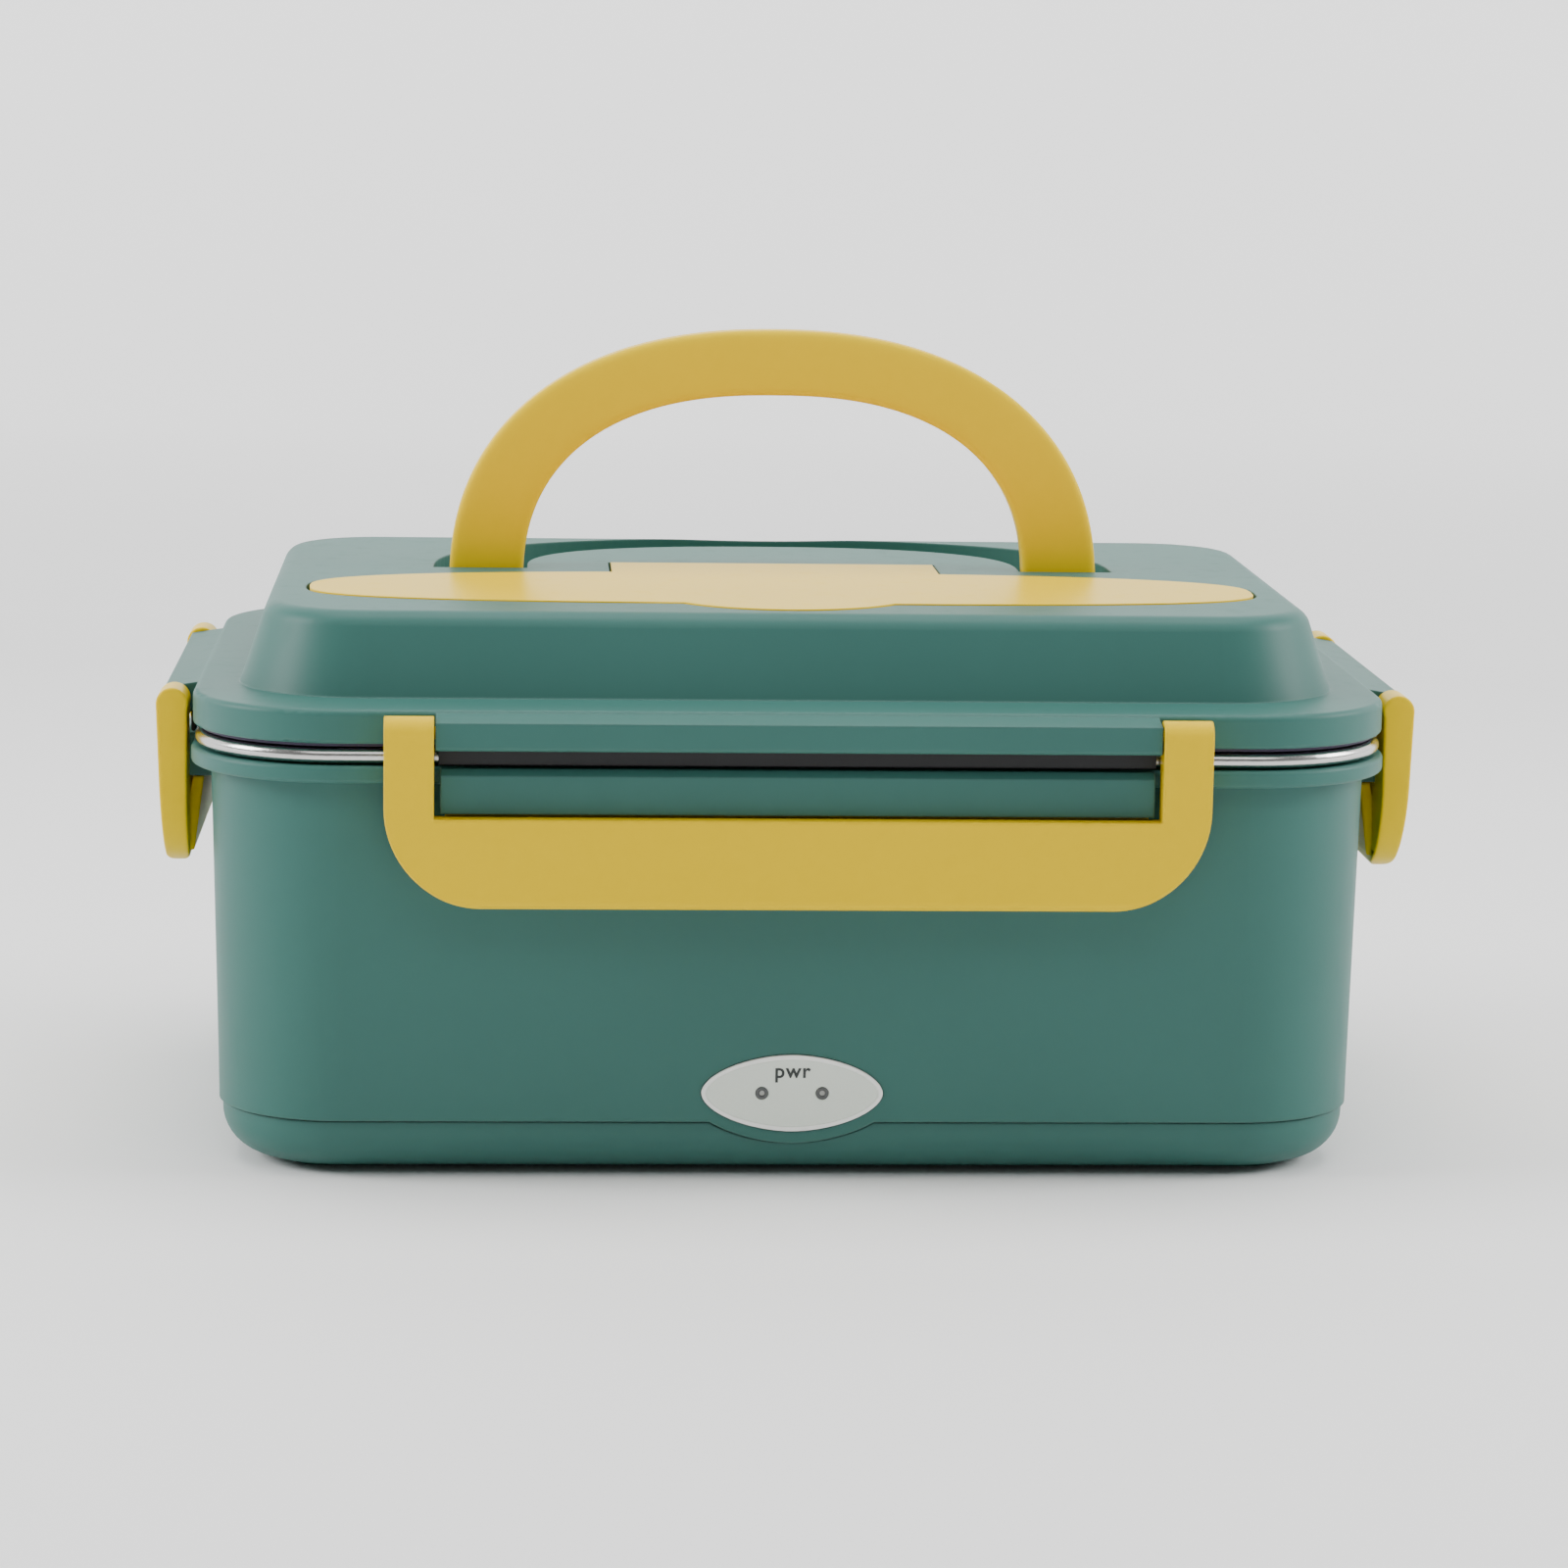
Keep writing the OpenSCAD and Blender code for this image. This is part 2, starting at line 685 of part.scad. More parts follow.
module indicator_lamps() {
  color("#f2f2ee")
    for (s = [-1, 1])
      translate([s*lamp_pitch/2, badge_face_y + 0.3, badge_z]) rotate([-90, 0, 0]) {
        cylinder(h = board_y - badge_face_y - 0.3, r = lamp_r);
        translate([0, 0, board_y - badge_face_y - 0.8]) cylinder(h = 0.5, r = lamp_r + 0.4);
      }
}

module indicator_board() {
  board_w = lamp_pitch + 16;
  board_h = 1.2*badge_b;
  chip_w = board_w/9;
  color("#2e6b3a") {
    translate([-board_w/2, board_y, badge_z - board_h/2]) cube([board_w, 1.2, board_h]);
    for (i = [-1:1])
      translate([i*board_w/3 - chip_w/2, board_y + 1.2 - eps, badge_z - 1])
        cube([chip_w, 0.9, 1.8]);
  }
}

// Insulated leads: from the inlet to thermostat, fuse and heater, and on to the indicator board
lead_z = foot_h + cover_t + 3.2;
lead_end_r = lead_r + 0.1;
inlet_tab_y = inlet_y - 15 - tab_len - lead_end_r - 0.1;
heater_tab_z = plate_z - heater_h + 1.4;
fuse_lead_y = fuse_end + lead_end_r + 0.1;

module lead(points) {
  for (i = [0:len(points) - 2])
    rod(points[i], points[i + 1], lead_r);
  for (p = points)
    translate(p) sphere(lead_end_r, $fn = 24);
}

module leads() {
  color("#b0332c") {
    lead([[pin_pitch/2, inlet_tab_y, badge_z], [pin_pitch/2, inlet_tab_y, lead_z],
      [stat_x, 24, lead_z], [stat_x, 12, lead_z], [stat_x, 9.5, plate_z - 5.6]]);
    lead([[stat_x, -9.5, plate_z - 5.6], [stat_x, -13, lead_z], [stat_x - 10, -13, lead_z],
      [heater_w/2 + 3.5, 0, heater_tab_z - lead_end_r - 0.1]]);
  }
  color("#3a4a8c") {
    lead([[-pin_pitch/2, inlet_tab_y, badge_z], [-pin_pitch/2, inlet_tab_y, lead_z],
      [fuse_x, 26, lead_z], [fuse_x, fuse_lead_y, plate_z - 2.2]]);
    lead([[fuse_x, -fuse_lead_y, plate_z - 2.2], [fuse_x, -fuse_lead_y - 2, lead_z],
      [fuse_x + 6, -14, lead_z],
      [-heater_w/2 - 3.5, 0, heater_tab_z - lead_end_r - 0.1]]);
  }
  color("#e0e0da")
    for (s = [-1, 1])
      lead([[s*(lamp_pitch/2 + 4), board_y + 1.3 + lead_end_r, badge_z - badge_b/3],
        [s*(lamp_pitch/2 + 4), board_y + 8, lead_z],
        [s*(heater_w/2 + 4), -30, lead_z]]);
}

// ---------------------------------------------------------------- container and tray

module steel_container() {
  ledge_top = steel_top - ledge_drop;
  low_u = steel_u - ledge_w;
  foot_u = low_u - steel_draft;
  color(steel) {
    sweep(corner_x, corner_y) {
      difference() {
        union() {
          pan_section(foot_u + steel_t, low_u + steel_t, steel_z, ledge_top, steel_bottom_r + steel_t);
          translate([0, ledge_top - steel_t]) square([steel_u + steel_t, ledge_drop + steel_t]);
          translate([0, steel_top - steel_t]) square([bead_u, steel_t]);
        }
        pan_section(foot_u, low_u, steel_z + steel_t, ledge_top, steel_bottom_r);
        translate([-1, ledge_top]) square([steel_u + 1, ledge_drop + 1]);
      }
      translate([bead_u, bead_z]) circle(bead_r);
    }
    core(corner_x, corner_y, steel_z, steel_z + steel_t);
  }
}

tray_top_u = steel_u - 0.8;
tray_cy = corner_y;
tray_cx = tray_w/2 - tray_top_u;
tray_shift = corner_x - tray_cx;

module side_dish_tray() {
  rim_z0 = steel_top - ledge_drop + 0.05;
  wall_top_u = tray_top_u - tray_rim;
  wall_foot = wall_top_u - 2.4;
  foot_z = rim_z0 + tray_t - tray_h;
  color("#e9ece6") translate([tray_shift, 0, 0]) {
    sweep(tray_cx, tray_cy) {
      difference() {
        union() {
          pan_section(wall_foot, wall_top_u, foot_z, rim_z0 + tray_t, 5);
          translate([0, rim_z0]) square([tray_top_u, tray_t]);
        }
        pan_section(wall_foot - tray_t, wall_top_u - tray_t, foot_z + tray_t, rim_z0 + tray_t + 1, 4);
      }
    }
    core(tray_cx, tray_cy, foot_z, foot_z + tray_t);
    translate([-tray_t/2, -tray_cy - wall_foot, foot_z + 0.4])
      cube([tray_t, 2*(tray_cy + wall_foot), tray_h - 5]);
  }
}

// ---------------------------------------------------------------- lid

// Section of the dome from its axis out, shrunk inwards by wall
module dome_section(wall, z0) {
  edge_r = dome_edge_r - min(wall, dome_edge_r - 0.8);
  foot_u = dome_r - wall/cos(lean_angle);
  top = dome_z - wall;
  edge_z = top - edge_r;
  edge_u = foot_u - (edge_r + (edge_z - ledge_z)*sin(lean_angle))/cos(lean_angle);
  foot_at = foot_u + (ledge_z - z0)*tan(lean_angle);
  polygon([[0, z0], [foot_at, z0],
    [edge_u + edge_r*cos(lean_angle), edge_z + edge_r*sin(lean_angle)], [edge_u, top], [0, top]]);
  translate([edge_u, edge_z]) circle(edge_r);
}

module dome(wall, z0) {
  translate([0, dome_mid, 0]) {
    sweep(dome_cx, dome_cy) dome_section(wall, z0);
    core(dome_cx, dome_cy, z0, dome_z - wall);
  }
}

module rim_section() {
  difference() {
    union() {
      translate([0, rim_z]) square([rim_u, rim_h]);
      translate([rim_u - lip_t, rim_z - lip_h]) square([lip_t, lip_h + 1]);
    }
    corner_cut([rim_u, ledge_z], rim_r, 1, 1);
    corner_cut([rim_u, rim_z - lip_h], lip_t/2, 1, -1);
  }
}

module lug_section() {
  top_z = rim_z - 1.3 + lug_h;
  foot_z = rim_z - 1.3;
  difference() {
    polygon([[rim_u - 3, rim_z], [rim_u + 0.6, rim_z], [rim_u + 1.6, foot_z],
      [rim_u + lug_out, foot_z], [rim_u + lug_out, top_z], [rim_u - 3, ledge_z - 0.1]]);
    corner_cut([rim_u + lug_out, foot_z], 0.9, 1, -1);
  }
}

// Outline of the cutlery cover or of an opening that follows it, grown outwards
module cutlery_outline(grow) {
  translate([0, cutlery_mid])
    polygon([for (i = [0:71]) let (t = 5*i)
      t < 180 ? squircle(cutlery_half + grow, cutlery_back_d + grow, back_power, t)
              : squircle(cutlery_half + grow, cutlery_front_d + grow, front_power, t)]);
}

// Round tab for the finger at the front edge
module finger_outline(grow) {
  r = (finger_half*finger_half + finger_out*finger_out)/(2*finger_out);
  front = cutlery_mid - cutlery_front_d;
  intersection() {
    translate([0, front + r - finger_out]) circle(r + grow);
    translate([-far/2, front - far + 12]) square(far);
  }
}

// Plan of the handle: arch between two squared-off ellipses, x across and y away from the pivots
module arch(a, b, power) {
  polygon([for (t = [0:3:180]) squircle(a, b, power, t)]);
}

module arch_hole(a, b, power) {
  polygon(concat([for (t = [0:3:180]) squircle(a, b, power, t)], [[-a, -far/2], [a, -far/2]]));
}

module channel_plan(grow) {
  out_a = handle_half + channel_side + grow;
  in_a = handle_half - handle_band - channel_gap - grow;
  difference() {
    union() {
      arch(out_a, handle_rise + channel_gap + grow, outer_power);
      translate([-out_a, -handle_t/2 - 0.45 - grow]) square([2*out_a, handle_t/2 + 0.45 + grow + eps]);
    }
    arch_hole(in_a, handle_rise - handle_top_band - channel_gap - grow, inner_power);
  }
}

// Material that stands inside the hollow dome: tubs of compartment, channel and hinge pocket
module lid_tubs() {
  translate([0, 0, compartment_z - 1.6]) linear_extrude(far) cutlery_outline(1.6 - cutlery_ledge);
  translate([0, 0, cutlery_z - part_gap - 1.6]) linear_extrude(far) cutlery_outline(cutlery_gap + 1.6);
  translate([0, 0, cutlery_z - part_gap - 1.6]) linear_extrude(far) finger_outline(cutlery_gap + 1.6);
  translate([0, handle_y, channel_z - 1.6]) linear_extrude(far) channel_plan(1.6);
  translate([-tab_half - 5, hinge_y - 7, pocket_z - 1.6]) cube([2*tab_half + 10, 15, far]);
  for (s = [-1, 1])
    translate([s*(handle_half + channel_side + 2.4) - 2.5, handle_y - 4.5, channel_z - 1.6])
      cube([5, 9, far]);
}

module lid_cuts() {
  translate([0, 0, compartment_z]) linear_extrude(far) cutlery_outline(-cutlery_ledge);
  translate([0, 0, cutlery_z - part_gap]) linear_extrude(far) cutlery_outline(cutlery_gap);
  translate([0, 0, cutlery_z - part_gap]) linear_extrude(far) finger_outline(cutlery_gap);
  translate([0, handle_y, channel_z]) linear_extrude(far) channel_plan(0);
  translate([-tab_half - 0.5, hinge_y - knuckle_r - 0.6, pocket_z])
    cube([2*tab_half + 1, knuckle_r + tab_back + 1.7, far]);
  translate([-tab_half - 0.5, cutlery_back - 6, cutlery_z - part_gap])
    cube([2*tab_half + 1, hinge_y - cutlery_back + 7, far]);
  translate([0, hinge_y, hinge_z]) rotate([0, 90, 0])
    cylinder(h = 2*(tab_half + 3.6), r = hinge_pin_r + 0.02, center = true);
  translate([0, handle_y, handle_z]) rotate([0, 90, 0])
    cylinder(h = 2*(handle_half + channel_side + handle_pin_in + part_gap),
      r = handle_pin_r + run_gap, center = true);
}

module lid_shell() {
  color(green) difference() {
    union() {
      difference() {
        union() {
          sweep(corner_x, corner_y) rim_section();
          core(corner_x, corner_y, rim_z, ledge_z);
          dome(0, ledge_z - 1);
        }
        dome(lid_t, rim_z - 1);
      }
      intersection() {
        dome(0, rim_z);
        lid_tubs();
      }
      for (side = ["front", "back", "left", "right"])
        on_side(side) along_x(clip_length(side) - 2*(arm_w + part_gap)) lug_section();
    }
    lid_cuts();
    sweep(corner_x, corner_y) translate([seal_in_u + 0.9, rim_z - 1]) square([3.4, 4.2]);
    for (side = ["front", "back", "left", "right"])
      on_side(side) translate([0, -pivot_u, pivot_z]) rotate([0, 90, 0]) clip_bores(side);
    translate([0, vent_y, compartment_z - 2]) cylinder(h = 3, r = 2);
  }
}

module clip_bores(side) {
  end = clip_length(side)/2 - arm_w;
  for (s = [-1, 1])
    translate([0, 0, s > 0 ? end - part_gap - stub_l : -end - 1])
      cylinder(h = stub_l + part_gap + 1, r = stub_r + run_gap);
}

// Plate under the dome, with a collar that centres the lid in the container
module inner_lid() {
  collar_u = steel_u - 0.9;
  color("#4a7a6e") {
    plate(seal_in_u - 0.2, rim_z - liner_t, rim_z);
    sweep(corner_x, corner_y)
      translate([collar_u - 1.5, rim_z - liner_t - 2.6]) square([1.5, 2.6 + eps]);
  }
}

module seal_ring() {
  color("#4b4659") sweep(corner_x, corner_y) {
    translate([seal_in_u, seal_z]) square([rim_u - lip_t - part_gap - seal_in_u, seal_h]);
    translate([seal_in_u + 1, seal_z]) square([3.2, seal_h + 3]);
  }
}

vent_y = cutlery_mid + 1.5;

module vent_plug() {
  color("#e7e7e2") translate([0, vent_y, 0]) {
    translate([0, 0, compartment_z]) cylinder(h = 1.2, r = 3.2);
    translate([0, 0, compartment_z - 1.6]) cylinder(h = 1.6 + eps, r = 1.95);
    translate([0, 0, compartment_z - 1.6 - 1.2]) cylinder(h = 1.2, r = 2.6);
  }
}

module cover_hinge_pin() {
  color(steel) translate([0, hinge_y, hinge_z]) rotate([0, 90, 0])
    cylinder(h = 2*(tab_half + 3.3), r = hinge_pin_r, center = true);
}

module cutlery_cover() {
  color(yellow) difference() {
    union() {
      translate([0, 0, cutlery_z]) linear_extrude(cutlery_t) {
        cutlery_outline(0);
        finger_outline(0);
        translate([-tab_half, cutlery_back - 6]) square([2*tab_half, hinge_y + tab_back - cutlery_back + 6]);
      }
      for (s = [-1, 1])
        translate([s*(tab_half - 8), hinge_y, hinge_z]) rotate([0, 90, 0])
          cylinder(h = 16, r = knuckle_r, center = true);
    }
    translate([0, hinge_y, hinge_z]) rotate([0, 90, 0])
      cylinder(h = far, r = hinge_pin_r + run_gap, center = true);
  }
}

// ---------------------------------------------------------------- cutlery

stem_w = 7;
spoon_y = cutlery_mid + 5.5 - spoon_w/2;
fork_y = spoon_y + spoon_w/2 + stem_w/2 + 0.5;

module utensil_stem(x0, x1) {
  translate([min(x0, x1), -stem_w/2, 0]) cube([abs(x1 - x0), stem_w, 2]);
  translate([x0, 0, 0]) cylinder(h = 2, r = stem_w/2);
}

module spoon() {
  bowl_l = 44;
  color(steel) translate([0, spoon_y, compartment_z + 0.1]) {
    utensil_stem(cutlery_l/2 - stem_w/2, -cutlery_l/2 + bowl_l - 4);
    difference() {
      translate([-cutlery_l/2 + bowl_l/2, 0, 0]) linear_extrude(3.6) ellipse(bowl_l/2, spoon_w/2);
      translate([-cutlery_l/2 + bowl_l/2, 0, 1]) linear_extrude(3.6)
        ellipse(bowl_l/2 - 1.2, spoon_w/2 - 1.2);
    }
  }
}

module fork() {
  head_l = 46;
  tines = 4;
  slot_w = 2;
  tine_w = (fork_w - (tines - 1)*slot_w)/tines;
  color(steel) translate([0, fork_y, compartment_z + 0.1]) {
    utensil_stem(-cutlery_l/2 + stem_w/2, cutlery_l/2 - head_l + 4);
    difference() {
      translate([cutlery_l/2 - head_l, -fork_w/2, 0])
        linear_extrude(2) translate([head_l/2, fork_w/2]) round_rect(head_l, fork_w, 7);
      for (i = [1:tines - 1])
        translate([cutlery_l/2 - 28, -fork_w/2 + i*(tine_w + slot_w) - slot_w, -1])
          cube([40, slot_w, 5]);
    }
  }
}

// ---------------------------------------------------------------- clips

// Side view of a clip about its pivot: v outwards, z up
module clip_section() {
  foot_r = arm_t/2 - 0.6;
  foot_v = -0.3;
  polygon([[-arm_t/2, 0], [knuckle_out, 0], [foot_v + foot_r, -clip_drop + foot_r],
    [foot_v - foot_r, -clip_drop + foot_r]]);
  circle(knuckle_out);
  translate([foot_v, -clip_drop + foot_r]) circle(foot_r);
}

// Front view of a clip about its pivot
module clip_outline(length) {
  half = length/2;
  r = clip_corner_r;
  bar_z = bar_top - pivot_z;
  top = knuckle_out + 1;
  difference() {
    union() {
      translate([-half, -clip_drop + r]) square([length, clip_drop - r + top]);
      translate([-half + r, -clip_drop]) square([length - 2*r, r + 1]);
      for (s = [-1, 1])
        translate([s*(half - r), -clip_drop + r]) circle(r);
    }
    translate([-half + arm_w, bar_z]) square([length - 2*arm_w, clip_drop + far]);
  }
}

// Tongue that hooks under the catch of the base
module tongue_section() {
  foot_v = -arm_t/2 + 0.5;
  foot_z = -clip_drop + 3;
  tip_v = wall_u + 2.3 + tongue_t/2 - pivot_u;
  tip_z = catch_z - latch_gap - pivot_z;
  polygon([[foot_v - tongue_t/2, foot_z], [foot_v + tongue_t/2 + 0.8, foot_z],
    [tip_v + tongue_t/2, tip_z], [tip_v - tongue_t/2, tip_z]]);
}

module clip(side) {
  length = clip_length(side);
  color(yellow) on_side(side) translate([0, -pivot_u, pivot_z]) {
    intersection() {
      along_x(length) clip_section();
      rotate([90, 0, 0]) linear_extrude(far, center = true) clip_outline(length);
    }
    along_x(length - 2*(arm_w + 2)) tongue_section();
    for (s = [-1, 1])
      translate([s*(length/2 - arm_w - stub_l/2 + 0.25), 0, 0]) rotate([0, 90, 0])
        cylinder(h = stub_l + 0.5, r = stub_r, center = true);
  }
}

// ---------------------------------------------------------------- handle

module handle() {
  inner_a = handle_half - handle_band;
  color(yellow) translate([0, handle_y, handle_z]) {
    rotate([90, 0, 0]) linear_extrude(handle_t, center = true) difference() {
      arch(handle_half, handle_rise, outer_power);
      arch_hole(inner_a, handle_rise - handle_top_band, inner_power);
    }
    for (s = [-1, 1]) {
      translate([s*(handle_half - handle_band/2), 0, 0]) rotate([0, 90, 0])
        cylinder(h = handle_band, r = handle_t/2, center = true);
      translate([s*(handle_half + (channel_side + handle_pin_in)/2 - 0.5), 0, 0])
        rotate([0, 90, 0])
          cylinder(h = channel_side + handle_pin_in + 1, r = handle_pin_r, center = true);
    }
  }
}

outer_body();
inner_well();
base_cover();
heating_plate();
ptc_heater();
insulation_sheet();
heater_clamp();
heater_screws();
thermostat();
thermal_fuse();
power_inlet();
inlet_pins();
indicator_board();
indicator_lamps();
badge();
leads();
cover_screws();
steel_container();
side_dish_tray();
lid_shell();
inner_lid();
seal_ring();
vent_plug();
cover_hinge_pin();
spoon();
fork();
clip("front");  // front_clip
clip("back");  // back_clip
clip("left");  // left_clip
clip("right");  // right_clip
handle();
cutlery_cover();
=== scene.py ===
"""Electric lunch box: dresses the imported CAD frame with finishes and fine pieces."""
import logging
import math
from dataclasses import dataclass
from enum import Enum
from typing import Any, Callable, Sequence

import bmesh
import bpy
from mathutils import Matrix, Vector


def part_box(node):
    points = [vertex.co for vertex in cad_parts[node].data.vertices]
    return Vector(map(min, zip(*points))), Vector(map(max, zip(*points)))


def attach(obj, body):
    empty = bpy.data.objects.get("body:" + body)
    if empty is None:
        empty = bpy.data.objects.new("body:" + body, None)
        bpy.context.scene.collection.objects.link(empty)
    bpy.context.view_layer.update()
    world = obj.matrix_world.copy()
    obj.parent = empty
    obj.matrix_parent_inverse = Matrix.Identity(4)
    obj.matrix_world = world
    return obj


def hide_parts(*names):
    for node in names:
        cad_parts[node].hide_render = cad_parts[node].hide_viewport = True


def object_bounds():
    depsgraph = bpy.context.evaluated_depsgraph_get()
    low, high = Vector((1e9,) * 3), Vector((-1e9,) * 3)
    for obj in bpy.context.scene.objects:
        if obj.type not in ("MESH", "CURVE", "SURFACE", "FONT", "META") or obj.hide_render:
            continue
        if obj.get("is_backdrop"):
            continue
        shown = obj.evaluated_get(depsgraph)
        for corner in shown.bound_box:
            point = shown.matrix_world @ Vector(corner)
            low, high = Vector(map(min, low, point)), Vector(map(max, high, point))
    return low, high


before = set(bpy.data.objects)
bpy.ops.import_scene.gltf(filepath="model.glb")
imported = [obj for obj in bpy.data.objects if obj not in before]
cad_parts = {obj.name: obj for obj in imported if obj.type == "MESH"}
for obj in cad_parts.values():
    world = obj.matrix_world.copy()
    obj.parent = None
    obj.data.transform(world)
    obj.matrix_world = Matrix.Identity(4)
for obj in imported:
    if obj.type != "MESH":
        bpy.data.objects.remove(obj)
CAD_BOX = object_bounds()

log = logging.getLogger("lunch_box")
Span = tuple[float, float]
Point = tuple[float, float, float]
Four = tuple[float, float, float, float]
MM = 0.001


# -------------------- node trees


def _math(operation: str, flipped: bool = False) -> Callable[..., "Signal"]:
    """Makes a method of Signal that adds a Math node.

    Args:
        operation: The node's operation.
        flipped: Whether the signal is the second operand.

    Returns:
        The method, which takes the other operand where there is one.
    """

    def method(signal: "Signal", *other: Any) -> "Signal":
        """Returns the value of the node."""
        values = (*other, signal) if flipped else (signal, *other)
        return signal.web.add("ShaderNodeMath", {"operation": operation}, dict(enumerate(values)))

    return method


class Signal:
    """One output of a node tree, with arithmetic that adds Math nodes."""

    __add__ = __radd__ = _math("ADD")
    __sub__ = _math("SUBTRACT")
    __rsub__ = _math("SUBTRACT", flipped=True)
    __mul__ = _math("MULTIPLY")
    __truediv__ = _math("DIVIDE")
    __rtruediv__ = _math("DIVIDE", flipped=True)
    __pow__ = _math("POWER")
    above = _math("GREATER_THAN")
    low = _math("MINIMUM")
    high = _math("MAXIMUM")
    size = _math("ABSOLUTE")
    sign = _math("SIGN")
    sin = _math("SINE")
    cos = _math("COSINE")
    whole = _math("FLOOR")

    def __init__(self, web: "Web", socket: bpy.types.NodeSocket) -> None:
        """Keeps a tree and one of its output sockets."""
        self.web = web
        self.socket = socket

    def ramp(self, low: float, high: float) -> "Signal":
        """Rescales low..high to 0..1, held at both ends."""
        return self.web.add("ShaderNodeMapRange", {"clamp": True},
                            {"Value": self, "From Min": low, "From Max": high})


class Web:
    """A node tree to which any node can be added."""

    def __init__(self, tree: bpy.types.NodeTree) -> None:
        """Keeps a material's or a geometry tree."""
        self.tree = tree

    def node(self, kind: str, settings: dict[str, Any] | None = None,
             inputs: dict[Any, Any] | None = None) -> bpy.types.Node:
        """Adds a node.

        Args:
            kind: The node's type.
            settings: Properties set before the inputs.
            inputs: Socket name or index to a number, colour or signal, or None to leave it.

        Returns:
            The node.
        """
        made = self.tree.nodes.new(kind)
        for key, value in (settings or {}).items():
            setattr(made, key, value)
        for key, value in (inputs or {}).items():
            if isinstance(value, Signal):
                self.tree.links.new(value.socket, made.inputs[key])
            elif value is not None:
                made.inputs[key].default_value = value
        return made

    def add(self, kind: str, settings: dict[str, Any] | None = None,
            inputs: dict[Any, Any] | None = None, output: int | str = 0) -> Signal:
        """Adds a node and returns its output of that name or index."""
        return Signal(self, self.node(kind, settings, inputs).outputs[output])


# -------------------- finishes


class Colour(Enum):
    """Base colours of the box, linear."""

    GREEN = (0.032, 0.128, 0.108)
    DEEP_GREEN = (0.022, 0.062, 0.053)
    LINER_GREEN = (0.065, 0.19, 0.155)
    YELLOW = (0.78, 0.53, 0.0)
    PALE_GREY = (0.72, 0.78, 0.7)
    RIM_HIGHLIGHT_GREY = (0.9, 0.91, 0.87)
    HOLE_SHADE_GREY = (0.085, 0.09, 0.088)
    PLUM_GREY = (0.045, 0.035, 0.07)
    MILK = (0.78, 0.8, 0.76)
    DIM_LENS = (0.3, 0.31, 0.29)
    CLEAR_LENS = (0.46, 0.46, 0.43)
    STEEL = (0.62, 0.62, 0.6)
    ALUMINIUM = (0.55, 0.56, 0.56)
    ZINC = (0.46, 0.48, 0.5)
    BRASS = (0.68, 0.46, 0.16)
    BLACK = (0.012, 0.012, 0.013)
    MICA = (0.55, 0.46, 0.27)
    RESIN = (0.5, 0.38, 0.2)
    BOARD = (0.02, 0.14, 0.05)
    WIRE = (0.4, 0.03, 0.02)
    PRINT = (0.03, 0.035, 0.034)

    def shade(self, factor: float = 1.0, lift: float = 0.0) -> Four:
        """Returns the colour scaled and lifted, with full opacity."""
        return (*(min(1.0, part * factor + lift) for part in self.value), 1.0)


class Skin(Web):
    """Base of every finish: a material with a Principled shader."""

    def __init__(self, name: str) -> None:
        """Makes an empty material.

        Args:
            name: Name of the material.
        """
        self.material = bpy.data.materials.new(name)
        self.material.use_nodes = True
        super().__init__(self.material.node_tree)
        self.shader = self.tree.nodes["Principled BSDF"]
        self.place = self.add("ShaderNodeTexCoord", output="Object")

    def noise(self, scale: float, detail: float = 2.0, stretch: Point = (1, 1, 1)) -> Signal:
        """Adds a noise on object coordinates.

        Args:
            scale: Features per metre.
            detail: Octaves.
            stretch: Factor along each axis before the noise is read.

        Returns:
            The noise value.
        """
        place = self.add("ShaderNodeVectorMath", {"operation": "MULTIPLY"},
                         {0: self.place, 1: stretch}, "Vector")
        return self.add("ShaderNodeTexNoise", None,
                        {"Vector": place, "Scale": scale, "Detail": detail}, "Fac")

    def mix(self, share: Any, first: Any, second: Any) -> Signal:
        """Returns two colours or signals mixed, with that share of the second."""
        return self.add("ShaderNodeMix", {"data_type": "RGBA"},
                        {"Factor": share, 6: first, 7: second}, 2)

    def soft_normal(self, radius: float, samples: int) -> Signal:
        """Returns the normal with edges rounded to a radius in metres."""
        return self.add("ShaderNodeBevel", {"samples": samples}, {"Radius": radius}, "Normal")

    def edges(self, radius: float) -> Signal:
        """Finds outer and inner edges.

        Args:
            radius: Reach of the search in metres.

        Returns:
            0 on flat faces, rising to 1 on edges.
        """
        true = self.add("ShaderNodeNewGeometry", output="Normal")
        along = self.add("ShaderNodeVectorMath", {"operation": "DOT_PRODUCT"},
                         {0: self.soft_normal(radius, 4), 1: true}, "Value")
        return (1 - along).ramp(0.01, 0.25)

    def axes(self) -> tuple[Signal, Signal, Signal]:
        """Returns the x, y and z of the object coordinates."""
        split = self.node("ShaderNodeSeparateXYZ", None, {0: self.place})
        return tuple(Signal(self, split.outputs[i]) for i in range(3))

    def bump(self, height: Signal, depth: float, radius: float) -> None:
        """Feeds a bump over softened edges into the shader's normal.

        Args:
            height: Height signal, 0 to 1.
            depth: Real depth in metres.
            radius: Radius that edges are rounded to by shading.
        """
        self.feed(Normal=self.add("ShaderNodeBump", None, {
            "Strength": 1.0, "Distance": depth, "Height": height,
            "Normal": self.soft_normal(radius, 6)}))

    def feed(self, **values: Any) -> None:
        """Sets or links inputs of the shader, with _ for a space.

        Args:
            values: Input name to number, colour or signal.
        """
        for key, value in values.items():
            target = self.shader.inputs[key.replace("_", " ")]
            if isinstance(value, Signal):
                self.tree.links.new(value.socket, target)
            else:
                target.default_value = value


